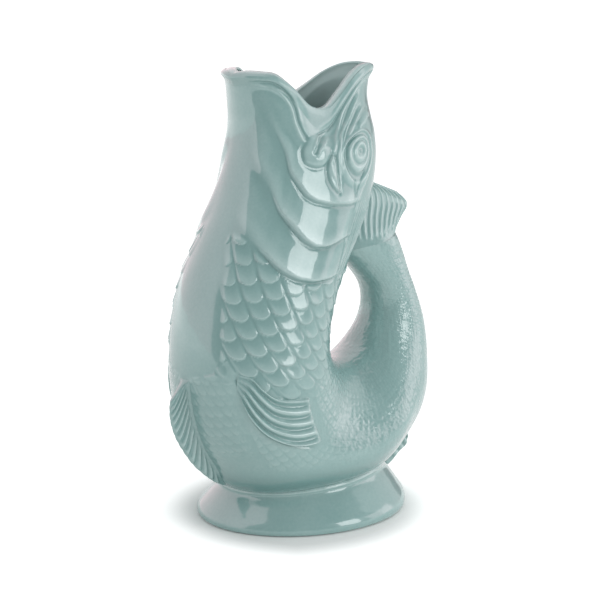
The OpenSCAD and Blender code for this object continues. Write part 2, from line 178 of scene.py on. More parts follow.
def skin(place, angle, inset=0.0, rise=0.0):
    """Point in mm: place 0 is the rim and the last one the tail; angle 0 is the belly, 90 the right side."""
    place, angle = np.broadcast_arrays(np.asarray(place, float), np.asarray(angle, float))
    row = along(ROWS, place)
    cosine, sine = np.cos(np.radians(angle)), np.sin(np.radians(angle))
    rolled = LIP_ROLL * np.sin(np.pi * place / LIP_END) * (1 - rim_drop(angle) / MOUTH_DEPTH)
    grow = np.where(place > LIP_END, 0, rolled) - inset
    middle, arm = (row[..., 0:2] + row[..., 2:4]) / 2, (row[..., 0:2] - row[..., 2:4]) / 2
    reach = np.linalg.norm(arm, axis=-1)
    stretched = arm * ((reach + grow) / reach)[..., None]
    x = middle[..., 0] + stretched[..., 0] * cosine
    towards_rim = np.clip(1 - place / LIP_END, 0, 1) ** 2
    pointed = 1 - LIP_POINT * np.exp(-(angle / POINT_SPREAD) ** 2) * towards_rim
    y = -(row[..., 4] + grow) * sine * (1 + row[..., 5] * cosine) * pointed
    z = middle[..., 1] + stretched[..., 1] * cosine - row[..., 6] * rim_drop(angle) + rise
    lowest = waist_z(x) + np.where(np.asarray(inset) > 0, BELLY_FLOOR, 0.0)
    return np.stack([x, y, np.maximum(z, lowest)], axis=-1)


print("pouring lip at", skin(0, 0).round(1), "and tail end at", skin(TAIL_END, 0).round(1))

# %% [markdown]
# ## A skin in rows and columns
# The relief of a fish jug is shallow and lies close together, so the surface is a fine net of rows along
# the fish and columns round it. Every relief form then only has to say how far the clay stands off at each
# knot of the net. The right half is modelled and the left half is its mirror image, as in the real two-part
# mould.

# %% Net of the whole fish
HALF = 224
MIRROR = np.array([1, -1, 1])
# Places where the head, chest, belly and tail begin, and the rows of each
PARTS = {"head": (0, 6, 150), "chest": (6, 12, 170), "belly": (12, 18, 200), "tail": (18, TAIL_END, 200)}
ROW_PLACES = np.concatenate([[0.0]] + [np.linspace(start, stop, rows + 1)[1:]
                                       for start, stop, rows in PARTS.values()])
COLUMN_ANGLES = np.linspace(0, 180, HALF + 1)
PLACE, ANGLE = np.meshgrid(ROW_PLACES, COLUMN_ANGLES, indexing="ij")
BASE = skin(PLACE, ANGLE)
# The rim turns over into its rounded crest
BASE[..., 2] -= RIM_CROWN * np.clip(1 - PLACE / 0.3, 0, 1) ** 2


def half_normals(points):
    """Outward directions of a half net, whose first and last columns lie in the mirror plane."""
    down = np.gradient(points, axis=0)
    wide = np.concatenate([points[:, 1:2] * MIRROR, points, points[:, -2:-1] * MIRROR], axis=1)
    return unit(np.cross(down, (wide[:, 2:] - wide[:, :-2]) / 2))


OUT = half_normals(BASE)
MM_PER_PLACE = np.linalg.norm(np.gradient(BASE, axis=0), axis=-1) / np.gradient(ROW_PLACES)[:, None]
MM_PER_DEGREE = np.linalg.norm(np.gradient(BASE, axis=1), axis=-1) / (180 / HALF)
print("knots in the half net:", BASE.shape[0] * BASE.shape[1])

# %% [markdown]
# ## Gill covers
# Behind each cheek the mould has three crescents that overlap like tiles: each rises gently, turns over in
# a soft round edge and drops to the next. Their edges are written as lines of places, and the height of a
# plate depends on how far a knot lies between the edge in front of it and its own edge.

# %% Height of the gill covers
EDGES = {
    "cheek": [(1.99, 21.5), (3.79, 40.5), (5.1, 58.5), (5.9, 72), (6.29, 80), (6.5, 96), (6.6, 112),
              (6.6, 130)],
    "first": [(1.98, 21.5), (2.98, 28.5), (3.88, 36), (4.68, 41.5), (5.2, 47), (5.82, 50.5), (6.23, 58),
              (6.57, 65), (6.77, 73), (6.91, 83.5), (7.05, 103.5), (7.0, 125)],
    "second": [(5.56, 24), (6.0, 32), (6.4, 40), (6.99, 50), (7.43, 62), (7.79, 72), (8.05, 82),
               (8.12, 92.5), (8.03, 103.5), (7.95, 118), (7.85, 132)],
    "third": [(7.29, 22.5), (7.67, 35.5), (8.09, 49.5), (8.43, 59), (8.67, 67.5), (8.91, 77.5), (9.09, 90),
              (9.17, 107.5), (9.19, 121.5), (9.1, 142)],
}
# A plate rises with this power of the way to its edge, which is rounded over this many mm
PLATE_POWER, PLATE_NOSE = 1.2, 1.6
print("edges:", ", ".join(EDGES))
# A groove runs along each edge: its depth, how far behind the edge it lies and half its width, in mm
EDGE_GROOVE, GROOVE_BEHIND, GROOVE_REACH = 0.35, 0.5, 0.8


# %% Soft steps and edges
def between(value, start, end):
    """Smooth step from nought at the start to one at the end, which may be the smaller of the two."""
    share = np.clip((value - start) / (end - start), 0, 1)
    return share * share * (3 - 2 * share)


def swell(value, middle, reach):
    """Soft hump that is one in the middle and runs out past its reach on either side."""
    return np.exp(-((value - middle) / reach) ** 2)


def behind(name):
    """Distance in mm of every knot behind an edge, measured square to it; the edge's kinks are rounded."""
    places, angles = np.array(EDGES[name]).T
    line = np.interp(COLUMN_ANGLES, angles, places) + np.minimum(COLUMN_ANGLES - angles[0], 0) * 0.05
    kernel = np.hanning(13)
    line = np.convolve(np.pad(line, len(kernel) // 2, mode="edge"), kernel / kernel.sum(), "valid")
    slope = np.gradient(line, COLUMN_ANGLES) * MM_PER_PLACE / np.maximum(MM_PER_DEGREE, 0.05)
    return (PLACE - line) * MM_PER_PLACE / np.sqrt(1 + slope ** 2)


def plate(front, edge, step):
    """Height of a crescent that rises from the edge in front of it to a step at its own edge."""
    past_front, before_edge = behind(front), -behind(edge)
    share = np.clip(past_front, 0, None) / np.maximum(past_front + before_edge, 1e-6)
    height = step * share ** PLATE_POWER * between(before_edge, 0, PLATE_NOSE) ** 0.5
    return np.where((past_front > 0) & (before_edge > 0), height, 0)


def blurred(field, reach):
    """The field smoothed over some rows and columns of the net, mirrored at the mirror plane."""
    kernel = np.hanning(2 * reach + 3)[1:-1]
    kernel /= kernel.sum()
    wide = np.concatenate([field[:, reach:0:-1], field, field[:, -2:-reach - 2:-1]], axis=1)
    wide = np.pad(wide, ((reach, reach), (0, 0)), mode="edge")
    for axis in (0, 1):
        wide = np.apply_along_axis(lambda line: np.convolve(line, kernel, "valid"), axis, wide)
    return wide


print("knots in front of the cheek's edge:", int((behind("cheek") < 0).sum()))

# %% Gill covers on the net
gills = plate("cheek", "first", 1.7) + plate("first", "second", 2.3) + plate("second", "third", 2.3)
for edge in ("first", "second", "third"):
    gills -= EDGE_GROOVE * swell(behind(edge), GROOVE_BEHIND, GROOVE_REACH)
relief = gills * between(ANGLE, 14, 30) * between(ANGLE, 120, 98)
# Towards the throat the edges run out softly
crisp = between(ANGLE, 34, 60)
relief = relief * crisp + blurred(relief, 9) * (1 - crisp)
print("gill covers stand up to", round(float(relief.max()), 2), "mm off the skin")

# %% [markdown]
# ## Modelled strokes
# Lips, cheek folds, the jaw drop and the creases round the eye are the marks of a modelling tool: a groove
# or a ridge drawn along a line, or a pad inside an outline. Each is given by a few places on the skin, and
# a knot is raised or sunk by its distance from the line. The ends of a stroke run out softly, as a tool
# lifts off the clay.

# %% Strokes and pads
# The shortest that a step of one place and of one degree gets on the head, in mm
SHORT_PLACE, SHORT_DEGREE = 8.0, 0.35


def drawn(places, closed=False, count=64):
    """Smooth line through places, as (place, angle) pairs and as points in mm."""
    knots = np.array(places, float)
    if closed:
        knots = np.vstack([knots[-1], knots, knots[:2]])
    first, last = (1, len(knots) - 2) if closed else (0, len(knots) - 1)
    fine = along(knots, np.linspace(first, last, count))
    return fine, skin(fine[:, 0], fine[:, 1])


def near(places, points, reach):
    """Which knots lie within reach of a line, how many mm from it, and how far along it they lie."""
    low = places.min(axis=0) - [reach / SHORT_PLACE, reach / SHORT_DEGREE]
    high = places.max(axis=0) + [reach / SHORT_PLACE, reach / SHORT_DEGREE]
    box = np.where((PLACE > low[0]) & (PLACE < high[0]) & (ANGLE > low[1]) & (ANGLE < high[1]))
    knots = BASE[box]
    best, where = np.full(len(knots), np.inf), np.zeros(len(knots))
    for i in range(len(points) - 1):
        start, step = points[i], points[i + 1] - points[i]
        share = np.clip(((knots - start) @ step) / max(step @ step, 1e-9), 0, 1)
        distance = np.linalg.norm(knots - start - share[:, None] * step, axis=1)
        closer = distance < best
        best[closer], where[closer] = distance[closer], (i + share[closer]) / (len(points) - 1)
    return box, best, where


def stroke(field, places, height, width, ends=(0.15, 0.15)):
    """A ridge, or a groove where the height is negative; it fades over a share of the line at each end."""
    box, distance, where = near(*drawn(places), 3 * width)
    fade = between(where, 0, ends[0]) * between(where, 1, 1 - ends[1])
    field[box] += height * swell(distance, 0, width) * fade


print("a stroke is followed in", len(drawn([(0, 0), (1, 0)])[0]), "steps")


# %% Pads
def inside(line, places, angles):
    """Whether places lie inside a closed line."""
    hit = np.zeros(places.shape, bool)
    for (p0, a0), (p1, a1) in zip(line, np.roll(line, -1, axis=0)):
        if a0 != a1:
            crossing = (p1 - p0) * (angles - a0) / (a1 - a0) + p0
            hit ^= ((a0 > angles) != (a1 > angles)) & (places < crossing)
    return hit


def pad(field, places, height, edge, groove):
    """A cushion of clay inside an outline, with a tool line round it."""
    line, points = drawn(places, closed=True)
    box, distance, _ = near(line, points, 3 * edge + 2)
    within = inside(line, PLACE[box], ANGLE[box])
    rise = height * np.sqrt(1 - (1 - np.clip(distance / edge, 0, 1)) ** 2)
    field[box] += np.where(within, rise, 0) - groove * swell(distance, 0, np.where(within, 0.6, 1.1))


def shifted(line, places, angles):
    return [(place + places, angle + angles) for place, angle in line]


square = np.array([(0, 0), (2, 0), (2, 2), (0, 2)])
print("the middle of a square is inside it:", inside(square, np.ones(1), np.ones(1)))

# %% [markdown]
# ## The marks on the head
# The lips are rolled over a groove that runs down to the corner of the mouth, and the jaw drops under that
# corner as a soft pad with a valley in it. Folds of skin sweep from the upper lip past the eye, and a
# wreath of short strokes closes the head behind it. All are strokes of the same tool, so a table holds
# them: the line, its height or depth in mm, its half width, and the shares over which it runs out.

# %% Marks on the head
LOWER_GROOVE = [(1.7, 15), (1.66, 24), (1.6, 35.5), (1.72, 44), (1.95, 53.5), (2.35, 57.5), (3.1, 59),
                (3.78, 61.5), (4.2, 65.5)]
UPPER_GROOVE = [(1.3, 165), (1.36, 151.5), (1.7, 133.5), (1.7, 117), (1.74, 107), (1.88, 99.5), (2.02, 91),
                (2.28, 82.5), (2.9, 73.5)]
JAW_DROP = [(2.1, 89.5), (2.18, 81.5), (3.46, 70), (4.6, 62), (5.06, 59.5), (5.46, 61.5), (5.64, 66),
            (5.72, 72), (5.66, 77.5), (5.42, 80.5), (4.96, 81.5), (4.1, 84), (2.76, 89)]
CHEEK_LENS = [(5.15, 84), (5.3, 82), (5.62, 80), (5.94, 80), (6.28, 82.5), (6.52, 87), (6.66, 92),
              (6.42, 90.5), (6.12, 88.5), (5.72, 87)]
STROKES = [
    # Grooves of the lips, each between two ridges
    (LOWER_GROOVE, -0.85, 1.05, (0.3, 0.06)),
    (shifted(LOWER_GROOVE, 0.42, -2.5), 0.4, 1.1, (0.45, 0.15)),
    (shifted(LOWER_GROOVE[:-1], -0.55, 1.5), 0.4, 1.1, (0.45, 0.1)),
    (UPPER_GROOVE, -0.75, 0.8, (0.1, 0.1)),
    (shifted(UPPER_GROOVE, -0.6, 1), 0.45, 1.2, (0.1, 0.1)),
    # Arc under the jaw drop, the valley in it and the two ridges beside the valley
    ([(4.0, 63.5), (4.6, 61), (5.06, 58.7), (5.5, 60.7), (5.72, 66), (5.8, 72), (5.72, 78), (5.4, 81.5)],
     -0.4, 1.3, (0.25, 0.2)),
    ([(2.4, 85.5), (2.9, 80.5), (3.88, 75), (4.58, 71.5), (4.98, 69.5), (5.2, 69)], -0.8, 1.2, (0.3, 0.2)),
    ([(1.98, 90), (2.38, 82.5), (2.96, 77), (4.02, 71.5), (4.72, 68), (5.04, 67)], 0.55, 0.5, (0.15, 0.25)),
    ([(2.94, 86), (3.84, 80.5), (4.48, 76), (4.84, 73), (5.08, 71.5), (5.3, 71)], 0.6, 0.6, (0.3, 0.2)),
    # Ridge in the lens behind the jaw
    ([(5.6, 82.3), (5.85, 83.2), (6.1, 85), (6.4, 88.5)], 0.5, 0.7, (0.3, 0.3)),
    # Folds from the upper lip past the eye
    ([(1.92, 144), (1.96, 120), (2.0, 106.5), (2.6, 98.5), (4.2, 88.5), (5.38, 82.5), (5.68, 80)], 0.5, 0.8),
    ([(2.2, 132), (2.3, 115), (2.7, 103), (3.4, 95), (4.7, 87.5), (5.5, 85.5)], -0.4, 0.8),
    ([(2.5, 132.5), (2.7, 119), (3.02, 107.5), (3.42, 98), (4.88, 90), (5.62, 88.5), (6.22, 91)], 0.5, 0.8),
    ([(2.9, 130), (3.15, 117), (3.5, 105), (4.2, 96.5), (5.3, 92), (6.0, 93)], -0.35, 0.9),
    ([(2.12, 138), (2.15, 118), (2.35, 108), (3.0, 98.5), (3.9, 92), (4.9, 86.5), (5.4, 84)], 0.4, 0.5),
    ([(2.75, 133), (2.95, 119), (3.3, 107), (3.9, 98.5), (4.8, 93), (5.6, 91), (6.3, 94)], 0.4, 0.5),
    ([(3.2, 134), (3.4, 121), (3.75, 109), (4.1, 101)], 0.4, 0.5),
    ([(3.72, 141.5), (3.95, 125.5), (4.08, 114)], 0.45, 0.9),
    ([(3.45, 141.5), (3.6, 125.5), (3.75, 112)], -0.35, 0.9),
    # Creases under the eye
    ([(6.32, 105), (6.52, 105.5), (6.95, 108.5)], -0.6, 0.7),
    ([(6.1, 119), (6.4, 112.5), (6.66, 109.5), (6.95, 108.5)], -0.5, 0.7),
    ([(6.3, 124), (6.6, 117.5), (6.95, 112.5), (7.4, 111)], 0.4, 0.9),
    # Edge of the smooth belly above the side fin
    ([(11.2, 41), (11.6, 44), (12.0, 47), (12.6, 50), (13.1, 53.5), (13.6, 60.5), (14.15, 70.5), (14.6, 81)],
     -0.75, 0.9, (0.15, 0.2)),
]
# Three long grooves and seven short curved ridges behind the gill covers
STROKES += [(shifted([(7.5, 108), (8.4, 112), (9.0, 115), (9.6, 117.5)], 0, 5 * k), -0.35, 0.6)
            for k in range(3)]
STROKES += [(shifted([(6.75, 4), (7.35, 1), (7.85, 0), (8.3, 0.8), (9.1, 4)], 0, 112.5 + 3.3 * k),
             0.55, 0.5, (0.3, 0.35)) for k in range(7)]
head_marks = np.zeros_like(relief)
for mark in STROKES:
    stroke(head_marks, *mark)
pad(head_marks, CHEEK_LENS, 0.6, 1.5, 0.6)
drop = np.zeros_like(relief)
pad(drop, JAW_DROP, 1.05, 5.0, 0.0)
head_marks += drop * between(PLACE, 2.6, 5.0) * between(ANGLE, 84.5, 75.5)
print("head marks in mm:", head_marks.min().round(2), "to", head_marks.max().round(2))

# %% [markdown]
# ## The eye
# The eye is an upright almond in a hollow socket: a raised lid, a groove, a domed ball and a small pupil.
# All of it is rings round one place, so the height is a table over the distance from the middle, counted in
# shares of the socket.

# %% Eye
EYE_PLACE, EYE_ANGLE, EYE_LONG, EYE_WIDE = 5.36, 110.0, 1.12, 17.5
# Heights in mm from the pupil out to the end of the hollow, at this share of the eye's reach
EYE_RINGS, EYE_END = [0.95, 0.5, 0.75, 1.15, 0.9, 0.3, 0.75, 0.5, -0.75, -0.5, 0.5, 0.25, 0.0], 1.2
eye_share = np.sqrt(((PLACE - EYE_PLACE) / EYE_LONG) ** 2 + ((ANGLE - EYE_ANGLE) / EYE_WIDE) ** 2) / EYE_END
rings = np.where(eye_share < 1, along(EYE_RINGS, np.clip(eye_share, 0, 1) * (len(EYE_RINGS) - 1)), 0)
# The hollow is deepest in front of the eye
front_of_eye = between(ANGLE, EYE_ANGLE + 4, EYE_ANGLE - 8)
head_marks += np.where(rings < 0, rings * (0.45 + 0.75 * front_of_eye), rings * 1.1)
relief += head_marks
eye_ends = skin([EYE_PLACE - EYE_LONG, EYE_PLACE + EYE_LONG], EYE_ANGLE)
print("eye is", round(float(np.linalg.norm(eye_ends[1] - eye_ends[0]))), "mm long")

# %% [markdown]
# ## Nodes from a script
# Geometry and shader trees are both built of nodes, so one small function adds any node with its settings,
# and sets or links its inputs. A function that builds a tree calls it node, with its own tree already
# filled in.

# %% Node helper
MATH, VECTOR_MATH, MAP_RANGE = "ShaderNodeMath", "ShaderNodeVectorMath", "ShaderNodeMapRange"


def linear(hex_colour):
    """An sRGB hex colour as the linear values that a node takes."""
    values = [int(hex_colour[i:i + 2], 16) / 255 for i in (1, 3, 5)]
    return (*[v / 12.92 if v <= 0.04045 else ((v + 0.055) / 1.055) ** 2.4 for v in values], 1.0)


def add(tree, kind, inputs=(), **settings):
    """Adds a node with its settings; its inputs, by name or in order, are values, sockets or other nodes."""
    node = tree.nodes.new(kind)
    for name, value in settings.items():
        setattr(node, name, value)
    for key, value in inputs.items() if isinstance(inputs, dict) else enumerate(inputs):
        source = value.outputs[0] if isinstance(value, bpy.types.Node) else value
        if isinstance(source, bpy.types.NodeSocket):
            tree.links.new(source, node.inputs[key])
        else:
            node.inputs[key].default_value = source
    return node


print("a mid grey is written", round(linear("#808080")[0], 3), "in linear light")

# %% [markdown]
# ## Relief by Geometry Nodes
# Scales and rays are repeated forms that follow a rule, so Geometry Nodes make them. Both trees work alike:
# they read numbers that the mesh carries at its knots, reckon a height from them and push each knot
# outwards by it. The ends of the trees are the same, so one function adds them.


# %% Trees that raise a surface
def relief_tree(name, inputs):
    """A tree with a geometry input and named size inputs, and the sockets that give those inputs."""
    tree = bpy.data.node_groups.new(name, "GeometryNodeTree")
    tree.interface.new_socket("Geometry", in_out="INPUT", socket_type="NodeSocketGeometry")
    for label, value in inputs.items():
        kind = "NodeSocketInt" if isinstance(value, int) else "NodeSocketFloat"
        tree.interface.new_socket(label, in_out="INPUT", socket_type=kind).default_value = value
    tree.interface.new_socket("Material", in_out="INPUT", socket_type="NodeSocketMaterial")
    tree.interface.new_socket("Geometry", in_out="OUTPUT", socket_type="NodeSocketGeometry")
    return tree, tree.nodes.new("NodeGroupInput").outputs


def raise_by(tree, given, height):
    """Ends a tree: every knot moves outwards by a height, and the result is real and has its material."""
    node = partial(add, tree)
    out = node("GeometryNodeInputNamedAttribute", {"Name": "out"}, data_type="FLOAT_VECTOR")
    push = node(VECTOR_MATH, {0: out, "Scale": height}, operation="SCALE")
    moved = node("GeometryNodeSetPosition", {"Geometry": given["Geometry"], "Offset": push})
    real = node("GeometryNodeRealizeInstances", [moved])
    done = node("GeometryNodeSetMaterial", {"Geometry": real, "Material": given["Material"]})
    node("NodeGroupOutput", [done])
    return tree


# %% Meshes that carry numbers
def carry(mesh, **fields):
    """Stores numbers or directions at the knots of a mesh."""
    for name, values in fields.items():
        values = np.asarray(values, np.float32)
        vector = values.size == 3 * len(mesh.vertices)
        made = mesh.attributes.new(name, "FLOAT_VECTOR" if vector else "FLOAT", "POINT")
        made.data.foreach_set("vector" if vector else "value", values.ravel())


def mesh_of(name, points_mm, faces):
    """A smoothly shaded mesh."""
    mesh = bpy.data.meshes.new(name)
    points = np.asarray(points_mm).reshape(-1, 3) * MM
    mesh.from_pydata(points.tolist(), [], [list(map(int, face)) for face in faces])
    mesh.shade_smooth()
    return mesh


def grown(thing, tree, **inputs):
    """The object as a plain mesh with a tree applied; the object itself is taken away."""
    modifier = thing.modifiers.new(tree.name, "NODES")
    modifier.node_group = tree
    for socket in tree.interface.items_tree:
        if socket.item_type == "SOCKET" and socket.in_out == "INPUT" and socket.name in inputs:
            modifier[socket.identifier] = inputs[socket.name]
    evaluated = thing.evaluated_get(bpy.context.evaluated_depsgraph_get())
    mesh = bpy.data.meshes.new_from_object(evaluated)
    thing.modifiers.remove(modifier)
    plain = thing.data
    bpy.data.objects.remove(thing)
    bpy.data.meshes.remove(plain)
    return mesh


# %% [markdown]
# ## Scales
# The flanks are covered with scales in slanting columns, each scale a rounded tongue that rises towards its
# free edge and lies over the next. The net carries the number of the column and of the row at each knot,
# and the tree turns the part after the point of those numbers into a height. A fixed seed makes some scales
# a little fuller than others.


# %% Tree of the scales
def scales_tree():
    sizes = {"Rise": 0.001, "Tongue": 0.6, "Edge": 0.11, "Tilt": 0.35, "Seed": 3}
    tree, given = relief_tree("scales", sizes)
    node = partial(add, tree)
    column, row, mask = (node("GeometryNodeInputNamedAttribute", {"Name": name}, data_type="FLOAT")
                         for name in ("column", "row", "mask"))
    across = node(MATH, [node(MATH, [column], operation="FRACT"), 0.5], operation="SUBTRACT")
    side = node(MATH, [node(MATH, [across], operation="ABSOLUTE"), 2.0], operation="MULTIPLY")
    # Free edge of a scale: flat in the middle, drawn up at the sides
    square = node(MATH, [1.0, node(MATH, [side, 2.1], operation="POWER")], operation="SUBTRACT")
    drawn_up = node(MATH, [1.0, node(MATH, [square, 0.5], operation="POWER")], operation="SUBTRACT")
    lifted = node(MATH, [drawn_up, given["Tongue"], row], operation="MULTIPLY_ADD")
    down = node(MATH, [lifted], operation="FRACT")
    body = node(MATH, [node(MATH, [down, 1.3], operation="POWER"), 0.8, 0.2], operation="MULTIPLY_ADD")
    against = node(MATH, [given["Tilt"], -1.0], operation="MULTIPLY")
    lean = node(MATH, [across, against, 1.0], operation="MULTIPLY_ADD")
    tilted = node(MATH, [body, lean], operation="MULTIPLY")
    # It drops to nothing over the width of its edge, and more softly at its sides
    to_edge, to_side = (node(MATH, [1.0, way], operation="SUBTRACT") for way in (down, side))
    ends = [node(MAP_RANGE, {"Value": way, "From Max": width}, interpolation_type="SMOOTHSTEP")
            for way, width in ((to_edge, given["Edge"]), (to_side, 0.3))]
    edges = node(MATH, ends, operation="MULTIPLY")
    # Each scale has its own number, and by chance its own fullness
    which = [node(MATH, [number], operation="FLOOR") for number in (column, lifted)]
    both = node(MATH, [which[0], 61.0, which[1]], operation="MULTIPLY_ADD")
    number = node("FunctionNodeFloatToInt", [both])
    chance = node("FunctionNodeRandomValue", {2: 0.8, 3: 1.15, "ID": number, "Seed": given["Seed"]},
                  data_type="FLOAT").outputs[1]
    form = node(MATH, [tilted, edges], operation="MULTIPLY")
    fuller = node(MATH, [form, chance], operation="MULTIPLY")
    masked = node(MATH, [mask, given["Rise"]], operation="MULTIPLY")
    return raise_by(tree, given, node(MATH, [fuller, masked], operation="MULTIPLY"))


SCALES = scales_tree()
print("scales tree has", len(SCALES.nodes), "nodes")

# %% [markdown]
# ## Where the scales lie
# The large scales are about 14 degrees of the section wide and show about 10 mm of their length. The belly
# stays smooth up to a wavy edge, and the large scales thin out below the side fin and towards the back. A
# net of small scales covers the low belly, the flank behind the side fin and the tail, and there are none
# on the gill covers.

# %% Scales on the net
columns, steps = np.meshgrid(np.arange(HALF), np.arange(len(ROW_PLACES) - 1))
knot = steps * (HALF + 1) + columns
NET_FACES = np.stack([knot, knot + HALF + 1, knot + HALF + 2, knot + 1], axis=-1).reshape(-1, 4)


def scales(column, row, mask, **inputs):
    """Height in mm that the tree gives to every knot of the net."""
    net = placed("net", mesh_of("net", BASE, NET_FACES))
    carry(net.data, column=column, row=row, mask=mask, out=OUT)
    mesh = grown(net, SCALES, **inputs)
    points = np.empty(BASE.size, np.float32)
    mesh.vertices.foreach_get("co", points)
    bpy.data.meshes.remove(mesh)
    height = ((points.reshape(BASE.shape).astype(float) / MM - BASE) * OUT).sum(-1)
    print("scales rise up to", round(float(height.max()), 2), "mm")
    return height


# %% Large scales
# Angle where they begin, the width of a column in degrees, and its slant for each place
BELLY_EDGE = np.interp(PLACE, [6, 7.8, 8.4, 9.3, 9.8, 10.9, 11.3, 11.5, 24],
                       [14, 17, 24, 29, 31, 33, 26, 3, 3])
COLUMN_WIDTH, SLANT = 14.2, 14.0
ROW_ENDS = [7.2, 7.8, 8.35, 8.88, 9.38, 9.88, 10.40, 10.95, 11.53, 12.1, 12.65, 13.2, 13.75, 14.3, 24]
column_number = (ANGLE - 52.5 - SLANT * (PLACE - 10.9)) / COLUMN_WIDTH + 40
row_number = np.interp(PLACE, ROW_ENDS, np.arange(len(ROW_ENDS)))
behind_gills = between(behind("third"), 0.6, 2.2) * between(PLACE, 7.35, 7.65)
# A smooth path leads down to the root of the side fin
smooth_path = np.zeros_like(relief)
stroke(smooth_path, [(10.9, 34), (11.22, 36.5), (11.7, 41), (12.14, 44), (12.62, 47.5), (13.02, 50.5)],
       0.9, 2.6, (0.1, 0.2))
rear_share = between(ANGLE, 42, 52)
fading = (np.interp(PLACE, [10.9, 11.5, 13.7, 13.95], [1, 0.12, 0.1, 0]) * (1 - rear_share)
          + np.interp(PLACE, [11.8, 12.7, 13.3], [1, 0.4, 0]) * rear_share)
towards_back = np.interp(ANGLE, [100, 135, 180], [1, 0.7, 0.5])
above_belly = between(ANGLE - BELLY_EDGE, -2, 3)
large_mask = behind_gills * above_belly * fading * (1 - smooth_path) * towards_back
relief += scales(column_number, row_number, large_mask, Rise=0.95 * MM)

# %% Small scales
# Places for each row, and the place where they begin for each column
PITCH = np.interp(ROW_PLACES, [12, 13.8, 15.5, 18, 24], [0.30, 0.24, 0.17, 0.14, 0.12])
FIRST_PLACE = np.interp(COLUMN_ANGLES, [0, 38, 44, 46, 50.5, 57.5, 68.5, 84, 92, 100, 180],
                        [17, 16, 14.0, 12.6, 12.95, 13.5, 14.1, 14.55, 14.3, 12.5, 12.2])
small_rows = np.repeat(np.cumsum(np.gradient(ROW_PLACES) / PITCH)[:, None], HALF + 1, axis=1)
small_width = np.interp(PLACE, [12, 14, 16, 18, 24], [7.5, 6.5, 5, 6, 8])
small_columns = (ANGLE - 90) / small_width + 40 - 1.9 * (PLACE - 12) * between(ANGLE, 46, 34)
thinning = np.interp(PLACE, [12, 14.5, 16, 18, 23.2, 23.9], [1, 0.9, 0.5, 0.4, 0.35, 0])
above_foot = between(BASE[..., 2], 34, 40)
small_mask = (between(PLACE - FIRST_PLACE, 0.05, 0.4) * thinning * above_foot
              * np.interp(ANGLE, [120, 160], [1, 0.5]))
# The belly between the front fin and the side fin has a net of them too
belly_net = between(PLACE, 11.3, 11.65) * between(PLACE, 13.9, 13.5)
belly_net *= between(ANGLE, 44, 36) * between(ANGLE, 2, 6)
small_mask = np.maximum(small_mask, 0.9 * belly_net)
relief += scales(small_columns, small_rows, small_mask, Rise=0.32 * MM, Tongue=0.5, Edge=0.2)

# %% [markdown]
# ## Hollows and rough places
# A cast form is never quite the drawn one. The body is drawn in behind the foot, where the rear fin stands
# free of it, and the end of the tail stays full on its outer side up to the fan. Where a hand has worked
# the clay most, on the lower flank, the tail and the nape, it keeps fine tool marks, and the glaze shows
# them as a broken sheen.

# %% Corrections and tool marks
relief -= 2.5 * swell(PLACE, 17.22, 0.62) * between(ANGLE, 6, 28) * between(ANGLE, 86, 58)
relief += 2.5 * between(PLACE, 22.3, TAIL_END) * between(ANGLE, 90, 20)
lower_flank = between(PLACE, 12.2, 14.7) * between(ANGLE, 55, 80)
nape = 0.8 * between(PLACE, 8.6, 9.4) * between(ANGLE, 92, 114)
ROUGHNESS = np.clip(lower_flank + between(PLACE, 16.5, 18) + nape, 0, 1)
print("relief between", round(float(relief.min()), 2), "and", round(float(relief.max()), 2), "mm")

# %% [markdown]
# ## The glaze
# A celadon-like earthenware glaze is a thin layer of coloured glass: pale where it runs thin over the
# ridges, darker where it pools in the hollows, and always wet-looking. It could be painted on as a picture,
# but the net already knows where the clay stands high, so the colour reads that number, and noise over the
# object does the rest.


# %% Glaze material
THICK, PLAIN, BARE = "#6f9794", "#8cb0ad", "#d2e4e2"


def emptied(data):
    """Empties the node tree of a material or of a world, and gives the function that adds nodes to it."""
    data.use_nodes = True
    data.node_tree.nodes.clear()
    return partial(add, data.node_tree)


def glaze(name, thin):
    """Gloss glaze whose colour follows the relief; where it runs thin it has the given colour."""
    material = bpy.data.materials.new(name)
    node = emptied(material)
    place = node("ShaderNodeTexCoord").outputs["Object"]
    height, rough = (node("ShaderNodeAttribute", attribute_name=field).outputs["Fac"]
                     for field in ("relief", "rough"))
    # Clouds of glaze about 25 mm across, mottle of 1.5 mm, slow ripples of 11 mm and tool marks of 3 mm
    clouds, mottle, ripples, marks = (
        node("ShaderNodeTexNoise", {"Vector": place, "Scale": scale, "Detail": detail})
        for scale, detail in ((40.0, 2.0), (650.0, 1.0), (90.0, 1.0), (330.0, 1.5)))
    cloudy = node(MATH, [clouds, 0.22, -0.11], operation="MULTIPLY_ADD")
    mottled = node(MATH, [mottle, 0.12, cloudy], operation="MULTIPLY_ADD")
    ramp = node("ShaderNodeValToRGB", [node(MATH, [height, mottled], operation="ADD", use_clamp=True)])
    colours = ramp.color_ramp.elements
    colours.remove(colours[1])
    colours[0].color = linear(THICK)
    for position, colour in ((0.5, PLAIN), (0.8, thin), (1.0, BARE)):
        colours.new(position).color = linear(colour)
    # The ripples are everywhere, and the tool marks only where the clay is rough
    slow = node("ShaderNodeBump", {"Height": ripples, "Strength": 0.5, "Distance": 0.4 * MM})
    bump = node("ShaderNodeBump", {"Height": marks, "Strength": rough, "Distance": 0.4 * MM, "Normal": slow})
    shader = node("ShaderNodeBsdfPrincipled", {
        "Base Color": ramp, "Roughness": 0.22, "IOR": 1.55, "Normal": bump,
        "Coat Weight": 1.0, "Coat Roughness": 0.03, "Coat IOR": 1.7, "Coat Normal": bump})
    node("ShaderNodeOutputMaterial", [shader])
    return material


glaze_body = glaze("celadon_glaze_on_earthenware", "#a9c6c3")
glaze_relief = glaze("celadon_glaze_thin_over_relief", "#b2cdca")
print("a glaze has", len(glaze_body.node_tree.nodes), "nodes")

